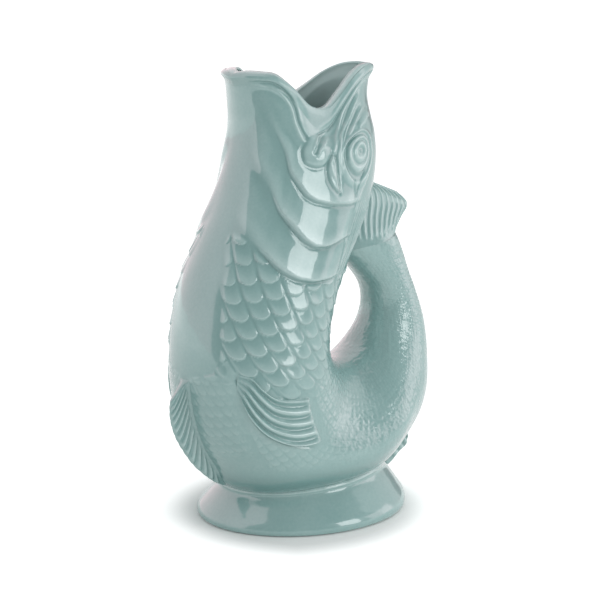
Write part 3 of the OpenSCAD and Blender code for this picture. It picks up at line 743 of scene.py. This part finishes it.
# %% [markdown]
# ## The finished net
# The relief is added to the net, and each knot gets the number that the glaze reads: 0.5 for plain skin,
# more for a knot that stands above the clay round it, less where glaze pools, and less in the band above the
# foot, which is painted shade.

# %% Points, normals and tones
# The narrow ledge that the dropped rim leaves under the corners of the mouth is smoothed down
settled = np.stack([blurred(BASE[..., axis], 25) for axis in range(3)], axis=-1)
ledge = swell(PLACE, 3.4, 0.8) * swell(ANGLE, 86, 18)
POINTS = BASE + ledge[..., None] * (settled - BASE) + relief[..., None] * OUT
NORMALS = half_normals(POINTS)
# The band above the foot is darkened with painted shade, where the belly turns down into the cove
TONES = 0.5 + 0.3 * np.tanh(2.4 * (relief - blurred(relief, 12))) - 0.45 * swell(BASE[..., 2], 25, 7)
print("tones between", round(float(TONES.min()), 2), "and", round(float(TONES.max()), 2))

# %% [markdown]
# ## Closed pieces from the net
# Each piece is a wall, not a film: its outer face is the net, its inner face is the same form set in by the
# thickness of the clay, and narrow bands close the ends. Its normals come from the whole net, so no seam
# shows between pieces.

# %% Piece maker
COLUMNS = 2 * HALF
INNER_ROWS = {"head": 31, "chest": 19, "belly": 19, "tail": 15}
# The air chamber of the tail ends just under the fan
CHAMBER_END = 0.967 * TAIL_END
# The inner faces get the palest tone of the glaze: painted light that lifts the shade inside the jug
CREST_TONE, PAINTED_LIGHT_INSIDE_TONE, CHAMBER_TONE = 0.8, 1.1, 0.42


def both_halves(half):
    """Full turn of a half net: the left half is the mirror image of the right one."""
    mirror = MIRROR if half.ndim == 3 else 1
    return np.concatenate([half, (half[:, 1:-1] * mirror)[:, ::-1]], axis=1)


def ring_faces(rings, joined=False):
    """Faces between the rings of a stack, and from the last ring to the first if they are joined."""
    knots = np.arange(rings.shape[0] * rings.shape[1]).reshape(rings.shape[:2])
    here, below = knots, np.roll(knots, -1, axis=0)
    if not joined:
        here, below = here[:-1], below[:-1]
    corners = [here, np.roll(here, -1, axis=1), np.roll(below, -1, axis=1), below]
    return np.stack(corners, axis=-1).reshape(-1, 4)


def wall(name, inner_tone, crest=False):
    """Rings of a wall, outer face upwards and inner face downwards, with its normals and its tones."""
    start, stop, _ = PARTS[name]
    rows = (ROW_PLACES > start - 1e-6) & (ROW_PLACES < stop + 1e-6)
    outer, normals, tones, rough = (both_halves(field[rows])[::-1]
                                    for field in (POINTS, NORMALS, TONES, ROUGHNESS))
    places = np.linspace(start, min(stop, CHAMBER_END), INNER_ROWS[name])[:, None]
    thickness = np.where(places > PARTS["tail"][0], TAIL_WALL, WALL)
    inner = both_halves(skin(places, COLUMN_ANGLES, thickness))
    # The crest of the rim is half a turn from the outer face to the inner one
    turn = np.radians(np.linspace(90, -90, 15))[1:-1, None] if crest else np.zeros((0, 1))
    crown = -RIM_CROWN * (1 - np.cos(turn))
    top = both_halves(skin(0, COLUMN_ANGLES[None, :], WALL / 2 * (1 - np.sin(turn)), crown))
    rings = np.concatenate([outer, top, inner])
    plain_tones = np.full(top.shape[:2], CREST_TONE), np.full(inner.shape[:2], inner_tone)
    tones = np.concatenate([tones, *plain_tones])
    rough = np.pad(rough, ((0, len(rings) - len(rough)), (0, 0)))
    around = np.roll(rings, -1, axis=1) - np.roll(rings, 1, axis=1)
    directions = -unit(np.cross(np.gradient(rings, axis=0), around))
    directions[:len(normals)] = normals
    return rings, {"normals": directions, "relief": tones, "rough": rough}


print("columns round the fish:", COLUMNS)


# %% Objects of the jug
def new_piece(name, points_mm, faces, normals=None, **fields):
    """A glazed object with its normals and with the numbers that the glaze reads."""
    mesh = mesh_of(name, points_mm, faces)
    carry(mesh, **fields)
    if normals is not None:
        mesh.normals_split_custom_set_from_vertices(normals.reshape(-1, 3).tolist())
    mesh.materials.append(glaze_body)
    return placed(name, mesh)


def finish_piece(piece, slot, *nodes):
    """Says what a piece rides on and hides the nodes of the model that it stands for; the slot is not used.
    """
    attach(piece, "root")
    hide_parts(*nodes)
    print(piece.name, "faces:", len(piece.data.polygons), "replaces", ", ".join(nodes))


# %% [markdown]
# ## Head, chest and belly
# The open mouth has a rounded crest, and its inner face gets the palest glaze tone: painted light that lifts
# the shade inside the hollow jug. The chest and the belly are bands of the same wall, so the whole jug is
# hollow and open down to the floor of its belly.

# %% Three bands of the body
def band(name, part, crest=False):
    # Inner faces take the inside tone, which is painted light
    rings, fields = wall(part, PAINTED_LIGHT_INSIDE_TONE, crest)
    return new_piece(name, rings, ring_faces(rings, joined=True), **fields)


head = band("head_skin", "head", crest=True)
chest = band("chest_skin", "chest")
belly = band("belly_skin", "belly")
finish_piece(head, "glazed_body", "head", "jaw_left", "jaw_right", "eye_left", "eye_right")
finish_piece(chest, "glazed_body", "trunk", "gill_plates_left", "gill_plates_right")
finish_piece(belly, "glazed_body", "trunk")

# %% [markdown]
# ## The tail handle
# The tail is the same net carried on to its end. It is hollow up to just under the fan, so its inner face
# stops there and both ends are closed with a flat cap.


# %% Tail handle
def capped(rings):
    """Faces of a stack of rings with a flat cap at either end."""
    count, around = rings.shape[:2]
    return [*ring_faces(rings), range(around)[::-1], range((count - 1) * around, count * around)]


tail_rings, tail_fields = wall("tail", CHAMBER_TONE)
tail = new_piece("tail_skin", tail_rings, capped(tail_rings), **tail_fields)
finish_piece(tail, "glazed_body", "tail_handle")

# %% [markdown]
# ## The foot
# The foot is an oval bell with a rolled edge, hollow underneath. On the real jug it is cast with the body,
# so glaze runs round a soft cove where the two meet. The cove is a curve from the foot to the belly above
# it: rays sent inwards from outside find the belly, and the curve leaves the foot and reaches the belly
# without a corner.

# %% Form of the foot
FOOT_LENGTH, FOOT_WIDTH, FOOT_WALL, FOOT_ROLL = 110.0, 95.0, 4.5, 3.2
# Shares of the height, of the flare and of the roll, from the standing edge up to the waist
FOOT_PROFILE = [[0.00, 0.95, 0.00], [0.03, 1.00, 0.75], [0.14, 1.00, 1.00], [0.30, 0.90, 0.95],
                [0.50, 0.58, 0.80], [0.70, 0.26, 0.60], [0.86, 0.07, 0.25], [1.00, 0.00, 0.00]]
HOLLOW_PROFILE = [[0.00, 0.95, 0.00], [0.16, 0.93, 0.00], [0.36, 0.70, 0.00], [0.62, 0.27, 0.00],
                  [1.00, 0.00, 0.00]]
# Share of the height where the outside ends; in mm, rise of the cove, radius of the bead, how far it is sunk
OUTSIDE_END, COVE_RISE, BEAD, BEAD_SUNK = 0.9, 5.0, 1.5, 0.7
foot_turn = np.arange(COLUMNS) * 2 * np.pi / COLUMNS


def foot_ring(share, inset=0.0):
    """Ring of the foot at shares of its height, of its flare and of its roll."""
    height, flare, roll = share
    grow = roll * FOOT_ROLL - inset
    half_length = WAIST_LENGTH / 2 + flare * (FOOT_LENGTH - WAIST_LENGTH) / 2 + grow
    half_width = WAIST_WIDTH / 2 + flare * (FOOT_WIDTH - WAIST_WIDTH) / 2 + grow
    x = FOOT_CENTRE + half_length * np.cos(foot_turn)
    return np.stack([x, half_width * np.sin(foot_turn), height * waist_z(x)], axis=-1)


waist = foot_ring((1.0, 0.0, 0.0))
print("waist in mm:", np.ptp(waist, axis=0).round(1))

# %% [markdown]
# ## The cove of the foot
# The outside, the bead, the cove and the underside are rings laid one after the other, so the foot is one
# closed piece too. Its upper end is tucked a little into the belly, where the real clay runs together.

# %% Foot
belly_faces = [tuple(face.vertices) for face in belly.data.polygons]
belly_tree = BVHTree.FromPolygons([tuple(knot.co) for knot in belly.data.vertices], belly_faces)
outward = [np.cos(foot_turn) / WAIST_LENGTH, np.sin(foot_turn) / WAIST_WIDTH, 0 * foot_turn]
inward = -unit(np.stack(outward, axis=-1))


def belly_at(rise):
    """Where rays sent inwards at a height above the waist meet the belly."""
    starts = waist - 40 * inward + [0, 0, rise]
    found = [belly_tree.ray_cast(Vector(start * MM), Vector(way)) for start, way in zip(starts, inward)]
    return np.array([list(hit[0]) for hit in found]) / MM


low, high = belly_at(COVE_RISE - 0.6), belly_at(COVE_RISE)
profile = along(FOOT_PROFILE, np.linspace(0, len(FOOT_PROFILE) - 1, 57))
outside = [foot_ring(share) for share in profile if share[0] <= OUTSIDE_END]
# A bead runs round the waist
for turn in np.radians(np.linspace(-40, 75, 9)):
    outside.append(waist - (BEAD * np.cos(turn) - BEAD_SUNK) * inward + [0, 0, BEAD * np.sin(turn)])
# The cove is a curve with four handles that rises from the bead to the belly
bead_top = outside[-1]
span = np.linalg.norm(high - bead_top, axis=-1, keepdims=True)
handles = bead_top, bead_top + 0.35 * span * inward, high - 0.4 * span * unit(high - low), high
cove = []
for t in np.linspace(0, 1, 15)[1:]:
    weights = (1 - t) ** 3, 3 * (1 - t) ** 2 * t, 3 * (1 - t) * t * t, t ** 3
    cove.append(sum(weight * handle for weight, handle in zip(weights, handles)))
tucked = [high + 1.2 * inward + [0, 0, 0.3], high + 3.0 * inward + [0, 0, -1.5]]
hollow = along(HOLLOW_PROFILE, np.linspace(len(HOLLOW_PROFILE) - 1, 0, 25))
underside = [foot_ring(share, FOOT_WALL) + [0, 0, 0.3 * share[0]] for share in hollow]
# Columns run the other way round from the fish, so they are turned to keep the faces outwards
foot_rings = np.array(outside + cove + tucked + underside)[:, ::-1]
# Glaze is thin on the rolled edge and on the bead, and the cove is darkened with painted shade
foot_tones = np.full(foot_rings.shape[:2], 0.5)
foot_tones[1:14] = np.linspace(0.62, 0.5, 13)[:, None]
foot_tones[len(outside) - 6:len(outside) - 1] = 0.75
# Painted shade in the cove
foot_tones[len(outside) + 1:len(outside) + len(cove)] = 0.3
foot = new_piece("foot_bell", foot_rings, ring_faces(foot_rings, joined=True), relief=foot_tones)
finish_piece(foot, "glazed_body", "foot")

# %% [markdown]
# ## Rays by Geometry Nodes
# Every fin is a thin web with raised rays. The rays repeat, so one tree makes them all: the web carries the
# count of rays at each point, and the tree raises a ridge at each whole number, along the direction that
# points out of the web.


# %% Tree of the rays
def rays_tree():
    tree, given = relief_tree("rays", {"Rise": 0.001, "Sharpness": 1.6})
    node = partial(add, tree)
    count, mask = (node("GeometryNodeInputNamedAttribute", {"Name": name}, data_type="FLOAT")
                   for name in ("ray", "mask"))
    wave = node(MATH, [node(MATH, [count, 2 * math.pi], operation="MULTIPLY")], operation="COSINE")
    bare = node(MATH, [wave, 0.5, 0.5], operation="MULTIPLY_ADD")
    ridge = node(MATH, [bare, given["Sharpness"]], operation="POWER")
    masked = node(MATH, [ridge, mask], operation="MULTIPLY")
    return raise_by(tree, given, node(MATH, [masked, given["Rise"]], operation="MULTIPLY"))


RAYS = rays_tree()
# Rays of this height or more get the full range of tones
FULL_RISE = 1.1


def rayed(name, rings, faces, ray, mask, out, rise_mm, sharpness, stands_for):
    """A web with its rays raised, as a finished piece that stands for a node of the model."""
    web = placed(name, mesh_of(name, rings, faces))
    carry(web.data, ray=ray, mask=mask, out=out)
    mesh = grown(web, RAYS, Rise=rise_mm * MM, Sharpness=sharpness, Material=glaze_relief)
    mesh.name = name
    for spare in ("ray", "mask", "out"):
        mesh.attributes.remove(mesh.attributes[spare])
    ridge = (0.5 + 0.5 * np.cos(2 * np.pi * ray)) ** sharpness * mask
    # At the root, where the mask is nought, a web has the tone and the tool marks of the skin beside it
    tone = 0.5 + (0.45 * ridge - 0.21 * mask) * min(1, rise_mm / FULL_RISE)
    carry(mesh, relief=tone, rough=0.8 * (1 - mask))
    finish_piece(placed(name, mesh), "glazed_relief", stands_for)


print("rays tree has", len(RAYS.nodes), "nodes")

# %% [markdown]
# ## Front and rear fins
# These two stand on the centre line, one under the throat and one behind the foot. Each is a blade: thick
# at the root, where the clay runs into the body, thin and rounded at the edge, with feather-like rays that
# sweep towards the tail.

# %% Blades
# Share of the full height along the root, and how many places the edge leans towards the tail
FRONT_SHAPE = [[0.86, 0.58], [1.00, 0.40], [0.97, 0.30], [0.82, 0.22], [0.64, 0.23], [0.38, 0.16],
               [0.06, 0.00]]
REAR_SHAPE = [[0.88, 0.06], [0.90, -0.02], [0.96, -0.07], [0.78, -0.23], [0.49, -0.30]]
# Thickness in mm at the root and at the edge, and how far the root is sunk into the body
FIN_ROOT, FIN_EDGE, SUNK_ROOT = 4.03, 1.86, 1.0
# Above this share of its height a blade rounds off to its edge
ROUNDED_FROM = 0.86


def out_of_belly(place):
    """Direction straight out of the belly line at a place."""
    run = skin(place + 0.05, 0.0) - skin(place - 0.05, 0.0)
    return unit(np.stack([run[..., 2], 0 * run[..., 0], -run[..., 0]], axis=-1))


def there_and_back(field):
    """One flank of a blade from its root to its edge, and the other flank back to the root."""
    return np.concatenate([field, field[:, -2::-1]], axis=1)


def blade(name, start, stop, height, rays, shape, sweep, scallop, stands_for):
    """A fin on the belly line: rows go along it, and columns go up one flank and down the other."""
    way = np.linspace(0, 1, 260)[:, None]
    rounding = ROUNDED_FROM + (1 - ROUNDED_FROM) * np.sin(np.linspace(0, np.pi / 2, 9))[1:]
    up = np.concatenate([np.linspace(0, ROUNDED_FROM, 26), rounding])
    place = start + (stop - start) * way[:, 0]
    share, lean = along(shape, way[:, 0] * (len(shape) - 1)).T
    tall = share[:, None] * height
    out, base = out_of_belly(place), skin(place, 0.0)
    root = base - SUNK_ROOT * out
    edge = tall * out + skin(place + lean, 0.0)
    count = rays * way - sweep * (1 - (1 - up) ** 1.8) * (1 + 0.7 * (1 - way) ** 2)
    tip = 1 + scallop * (np.abs(np.cos(np.pi * count)) - 0.6) * up ** 4
    line = root[:, None] + (edge - root)[:, None] * (up * tip)[..., None]
    reach = up * (tall + SUNK_ROOT)
    # Half the thickness tapers, widens where the clay runs into the body, and rounds off at the edge
    thick = FIN_ROOT / 2 * (1 - up) + FIN_EDGE / 2 * up + 2.6 * np.exp(-(reach - 0.4) / 1.5) * (up < 0.8)
    roundness = np.sqrt(1 - np.clip((up - ROUNDED_FROM) / (1 - ROUNDED_FROM), 0, 1) ** 2)
    thick = thick * roundness * np.clip(share[:, None] * 3, 0.35, 1)
    rings = there_and_back(line)
    aside = np.sign(len(up) - 1 - np.arange(rings.shape[1]))
    rings[..., 1] += there_and_back(thick) * np.where(aside == 0, 1, aside)
    outward = np.zeros(rings.shape)
    outward[..., 1] = aside
    mask = between(reach, 1.6, 3.4) * between(up, 1, 0.88) * between(way, 0, 1 / 12) * between(way, 1, 0.9)
    count, mask = there_and_back(count), there_and_back(mask)
    rayed(name, rings, capped(rings), count, mask, outward, 1.1, 0.8, stands_for)


blade("front_fin_blade", 11.5, 14.72, 12.0, 12, FRONT_SHAPE, 1.9, 0.02, "front_fin")
# The rear fin begins where the belly line comes out behind the foot
foot_end = FOOT_CENTRE + WAIST_LENGTH / 2 + 6
rear_start = next(place for place in np.arange(16.8, 19.2, 0.024) if skin(place, 0.0)[0] > foot_end)
blade("rear_fin_blade", rear_start, rear_start + 1.15, 18.5, 6, REAR_SHAPE, -0.8, 0.0, "rear_fin")

# %% [markdown]
# ## The fan of the tail
# Above the end of the handle the tail opens into a fan that lies against the nape. It starts as the round
# end of the handle, flattens as it rises and flares outwards, with about eight rays that bend over with its
# outer edge.

# %% Fan
FAN_FLARE, FAN_RISE, FAN_EDGE, FAN_SUNK = 13.3, 13.5, 3.0, 0.8
# Shares of the way up the nape, the flare, the rise, the handle's width, and the flare of the nape side
FAN_SHARES = [[0.00, 0.19, 0.00, 1.00, 0.00], [0.24, 0.36, 0.30, 0.72, 0.00], [0.50, 0.62, 0.62, 0.48, 0.00],
              [0.76, 0.92, 0.88, 0.26, 0.00], [0.93, 1.00, 1.02, 0.12, 0.00], [1.00, 0.95, 1.21, 0.04, 0.04],
              [1.03, 0.50, 1.60, 0.00, 0.37]]
FAN_TOP = len(FAN_SHARES) - 1
fan_cosine, fan_sine = (wave(np.arange(320) * 2 * np.pi / 320) for wave in (np.cos, np.sin))
# From the top of the fan down to the end of the handle
fan_way = np.linspace(0, FAN_TOP, 150)[::-1]
fan_rings, fan_count = [], []
for (up_nape, flare, rise, width, nape_flare), way in zip(along(FAN_SHARES, fan_way), fan_way):
    inner = back_point(SEAT + (FAN_END - SEAT) * up_nape, -FAN_SUNK) + [nape_flare * FAN_FLARE, 0]
    outer = TAIL_ROW[:2] + [flare * FAN_FLARE, rise * FAN_RISE]
    half = FAN_EDGE / 2 + (TAIL_ROW[4] - FAN_EDGE / 2) * max(width, 0)
    middle, arm = (inner + outer) / 2, (outer - inner) / 2
    ring = [middle[0] + arm[0] * fan_cosine, -half * fan_sine, middle[1] + arm[1] * fan_cosine]
    fan_rings.append(np.stack(ring, axis=-1))
    # Rays lie side by side from the outer edge inwards and spread as they rise
    across = np.linalg.norm(outer - inner) * (1 - fan_cosine) / 2
    fan_count.append(across / (3.2 + 1.6 * way / len(FAN_SHARES)) + 0.75)
fan_rings, fan_count = np.array(fan_rings), np.array(fan_count)
fan_mask = (between(fan_way, 0.25, 1.45) * between(fan_way, FAN_TOP, FAN_TOP - 0.5))[:, None]
fan_mask = fan_mask * between(np.abs(fan_sine), 0, 0.3)
fan_out = np.zeros(fan_rings.shape)
fan_out[..., 1] = -np.sign(fan_sine)
rayed("tail_fan", fan_rings, capped(fan_rings), fan_count, fan_mask, fan_out, 0.65, 1.2, "tail_fin")

# %% [markdown]
# ## Side fins
# A side fin is a pad that follows the curve of the flank, with strong rays that start close together at the
# root and fan out to the tip. It is a patch of places on the skin, lifted along the skin's own outward
# direction.

# %% Side fins
FIN_TOP = [(11.33, 44.0), (11.52, 53.5), (11.96, 61.0), (12.32, 68.5), (12.58, 79.5), (12.86, 93.0)]
FIN_LOW = [(11.75, 42.5), (12.3, 46.0), (12.85, 50.5), (13.45, 57.5), (14.05, 68.5), (14.5, 84.0)]
SIDE_FIN_LENGTH, SIDE_FIN_SUNK, RAY_GAPS = 34, 1.4, 4
# Thickness of the web in mm from root to tip
WEB = 1.3 * np.array([0.3, 0.65, 0.95, 1.0, 0.95])


def patch_faces(rows, columns):
    """Faces of a closed pad: an upper sheet of knots, a lower one like it, and a skirt round both."""
    knots = np.arange(rows * columns).reshape(rows, columns)
    corners = [knots[:-1, :-1], knots[1:, :-1], knots[1:, 1:], knots[:-1, 1:]]
    sheet = np.stack(corners, axis=-1).reshape(-1, 4)
    rim = np.concatenate([knots[0], knots[1:, -1], knots[-1, -2::-1], knots[-2:0:-1, 0]])
    skirt = np.stack([rim, np.roll(rim, -1), np.roll(rim, -1) + knots.size, rim + knots.size], axis=-1)
    return np.concatenate([sheet, sheet[:, ::-1] + knots.size, skirt])


def side_fin(name, mirror, stands_for):
    """A fin on one flank: rows go from its root to its tip, columns from its upper edge to its lower one."""
    u, v = np.linspace(0, 1, 150)[:, None], np.linspace(0, 1, 110)[None, :]
    top, bottom = (along(edge, u[:, 0] * (len(edge) - 1)) for edge in (FIN_TOP, FIN_LOW))
    places = top[:, None] + (bottom - top)[:, None] * v[..., None]
    place, angle = places[..., 0], places[..., 1]
    run = skin(place + 0.05, angle) - skin(place - 0.05, angle)
    out = unit(np.cross(run, skin(place, angle + 1) - skin(place, angle - 1)))
    width = np.linalg.norm(skin(*bottom.T) - skin(*top.T), axis=-1)[:, None]
    from_side = np.minimum(v, 1 - v) * width
    from_tip, from_root = (1 - u) * SIDE_FIN_LENGTH, u * SIDE_FIN_LENGTH
    # The edge is rounded over 0.9 mm at the sides, 1.2 mm at the tip and 5 mm at the root
    roll = np.minimum(np.minimum(from_side / 0.9, from_tip / 1.2), from_root / 5)
    web = along(WEB, u * (len(WEB) - 1)) * np.sqrt(1 - (1 - np.clip(roll, 0, 1)) ** 2)
    height = np.where(roll <= 0, -0.5, web)
    skin_here = skin(place, angle)
    sheets = np.stack([skin_here + height[..., None] * out, skin_here - SIDE_FIN_SUNK * out]) * mirror
    faces = patch_faces(*place.shape)
    if mirror[1] < 0:
        faces = faces[:, ::-1]
    mask = between(from_side, -0.245, 0.455) * between(from_tip, 0, 2) * between(from_root, 0, 9)
    mask = mask * (0.55 + 0.45 * between(u, 0, 0.5))
    # The sheet that lies under the skin has no rays
    ray, mask, out = (np.stack([field, 0 * field]) for field in (RAY_GAPS * v + 0 * u, mask, out * mirror))
    rayed(name, sheets, faces, ray, mask, out, 1.9, 0.9, stands_for)


side_fin("side_fin_right_fan", np.ones(3), "side_fin_right")
side_fin("side_fin_left_fan", MIRROR, "side_fin_left")

# %% [markdown]
# ## Studio: the floor
# The photograph was taken on a white table that keeps only a narrow shadow of the jug. A matt floor gives
# the shadow, and a glow that only the camera and the reflections see whitens it away from the jug.


# %% Floor
# Level directions: to the right of the picture, towards the camera, and to the front of the room
TO_RIGHT, TO_CAMERA, TO_FRONT = (0.77, -0.64, 0.0), (-0.64, -0.77, 0.0), (-0.169, -0.986, 0.0)
# The table ends 550 mm in front of the jug, so the throat reflects the dark room past its edge
corners = [(-4000, 550), (4000, 550), (4000, -4000), (-4000, -4000)]
table = [right * np.array(TO_RIGHT) + near * np.array(TO_CAMERA) for right, near in corners]
floor = placed("floor", mesh_of("floor", table, [range(4)]))
floor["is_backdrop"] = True


def seen(node):
    """One for what the camera, a reflection or a clear material sees, nought for what lights the jug."""
    path = node("ShaderNodeLightPath").outputs
    pair = node(MATH, [path["Is Camera Ray"], path["Is Glossy Ray"]], operation="MAXIMUM")
    return node(MATH, [pair, path["Is Transmission Ray"]], operation="MAXIMUM")


# %% Floor paint
floor_paint = bpy.data.materials.new("studio_floor_paint")
node = emptied(floor_paint)
matt = node("ShaderNodeBsdfDiffuse", {"Color": linear("#f4f4f2")})
# The glow sets in away from the jug, so the contact shadow stays
spot = node("ShaderNodeTexCoord").outputs["Object"]
across = node(VECTOR_MATH, [spot, TO_RIGHT], operation="DOT_PRODUCT").outputs["Value"]
distance = node(VECTOR_MATH, [spot], operation="LENGTH").outputs["Value"]
away = node(MATH, [node(MATH, [across], operation="ABSOLUTE"), 0.22, distance], operation="MULTIPLY_ADD")
whiten = node(MAP_RANGE, [away, 0.061, 0.093, 0.04, 0.6], interpolation_type="SMOOTHSTEP")
# The glaze sees less of the table far to the right, and more of it far to the left
far_right = node(MAP_RANGE, [across, 0.25, 0.55, 1.0, 0.1])
far_left = node(MAP_RANGE, [across, -0.9, -0.3, 1.4, 0.4])
mirrored = node(MATH, [far_left, far_right], operation="MULTIPLY")
weight = node(MAP_RANGE, [node("ShaderNodeLightPath").outputs["Is Camera Ray"], 0.0, 1.0, mirrored, 1.0])
shown = node(MATH, [seen(node), weight], operation="MULTIPLY")
strength = node(MATH, [shown, whiten], operation="MULTIPLY")
glow = node("ShaderNodeEmission", {"Color": (1, 1, 1, 1), "Strength": strength})
node("ShaderNodeOutputMaterial", [node("ShaderNodeAddShader", [matt, glow])])
floor.data.materials.append(floor_paint)
print("floor paint has", len(floor_paint.node_tree.nodes), "nodes")

# %% [markdown]
# ## Studio: the surround
# Glaze is a mirror, so most of what is seen on it is the room. The photographer's side of the room is dark,
# the left side is bright, and a low pale screen stands to the right of the camera. The camera itself sees
# plain white.

# %% Surround
world = bpy.data.worlds.new("studio")
node = emptied(world)
direction = node("ShaderNodeTexCoord").outputs["Generated"]
facing, rightward = (node(VECTOR_MATH, [direction, axis], operation="DOT_PRODUCT").outputs["Value"]
                     for axis in (TO_FRONT, TO_RIGHT))
height = node("ShaderNodeSeparateXYZ", [direction]).outputs["Z"]
panels = node(MAP_RANGE, [rightward, -0.2, 0.5, 1.35, 0.25])
# On the left the bright room reaches a little further round to the front
round_left = node(MAP_RANGE, [rightward, -0.3, 0.1, -0.15, 0.0])
turned = node(MATH, [facing, round_left], operation="ADD")
shine = node(MAP_RANGE, [turned, 0.0, 0.06, panels, 0.2], interpolation_type="SMOOTHSTEP")
# The screen has soft edges to the left, to the front, to the back and at its top
screen = 1.25
for value, start, stop in ((rightward, 0.5, 0.85), (facing, 0.58, 0.52), (facing, -0.04, 0.06),
                           (height, 0.45, 0.41)):
    edge = node(MAP_RANGE, [value, start, stop], interpolation_type="SMOOTHSTEP")
    screen = node(MATH, [edge, screen], operation="MULTIPLY")
total = node(MATH, [shine, screen], operation="ADD")
# What lights the jug without being mirrored in it is a plain soft grey
front = node(MAP_RANGE, [facing, -0.6, 0.8, 0.65, 0.92])
grey = node("ShaderNodeBackground", {"Color": linear("#e8ecee"), "Strength": front})
room = node("ShaderNodeBackground", {"Color": linear("#f8e6ea"), "Strength": total})
white = node("ShaderNodeBackground", {"Color": (1, 1, 1, 1)})
lit = node("ShaderNodeMixShader", [seen(node), grey, room])
camera_ray = node("ShaderNodeLightPath").outputs["Is Camera Ray"]
node("ShaderNodeOutputWorld", [node("ShaderNodeMixShader", [camera_ray, lit, white])])
bpy.context.scene.world = world
print("surround has", len(world.node_tree.nodes), "nodes")

# %% [markdown]
# ## Studio: soft boxes
# Two lamps stand on the right: a small one near the camera makes the bright window on the glaze, and a
# large one further round brings up the edge of the handle.


# %% Soft boxes
def soft_box(name, direction, distance, width, height, power):
    """A rectangular lamp that looks at the middle of the jug; sizes in m, power in W."""
    lamp = bpy.data.lights.new(name, "AREA")
    lamp.shape = "RECTANGLE"
    lamp.size, lamp.size_y, lamp.energy = width, height, power
    box = placed(name, lamp)
    target = Vector((0, 0, 0.12))
    box.location = target + Vector(direction).normalized() * distance
    box.rotation_euler = (target - box.location).to_track_quat("-Z", "Y").to_euler()
    print(name, "stands at", [round(value, 2) for value in box.location])


soft_box("soft_box_right", (0.38, -0.89, 0.25), 1.3, 0.5, 0.7, 3.3)
soft_box("soft_box_far_right", (0.95, -0.15, 0.35), 1.6, 1.2, 1.8, 3.4)

bpy.context.scene.view_settings.view_transform = "Standard"

# %% Finish
corners = {"cad": [list(map(float, c)) for c in construction_box], "visual": [list(map(float, c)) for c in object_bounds()]}
print(corners)
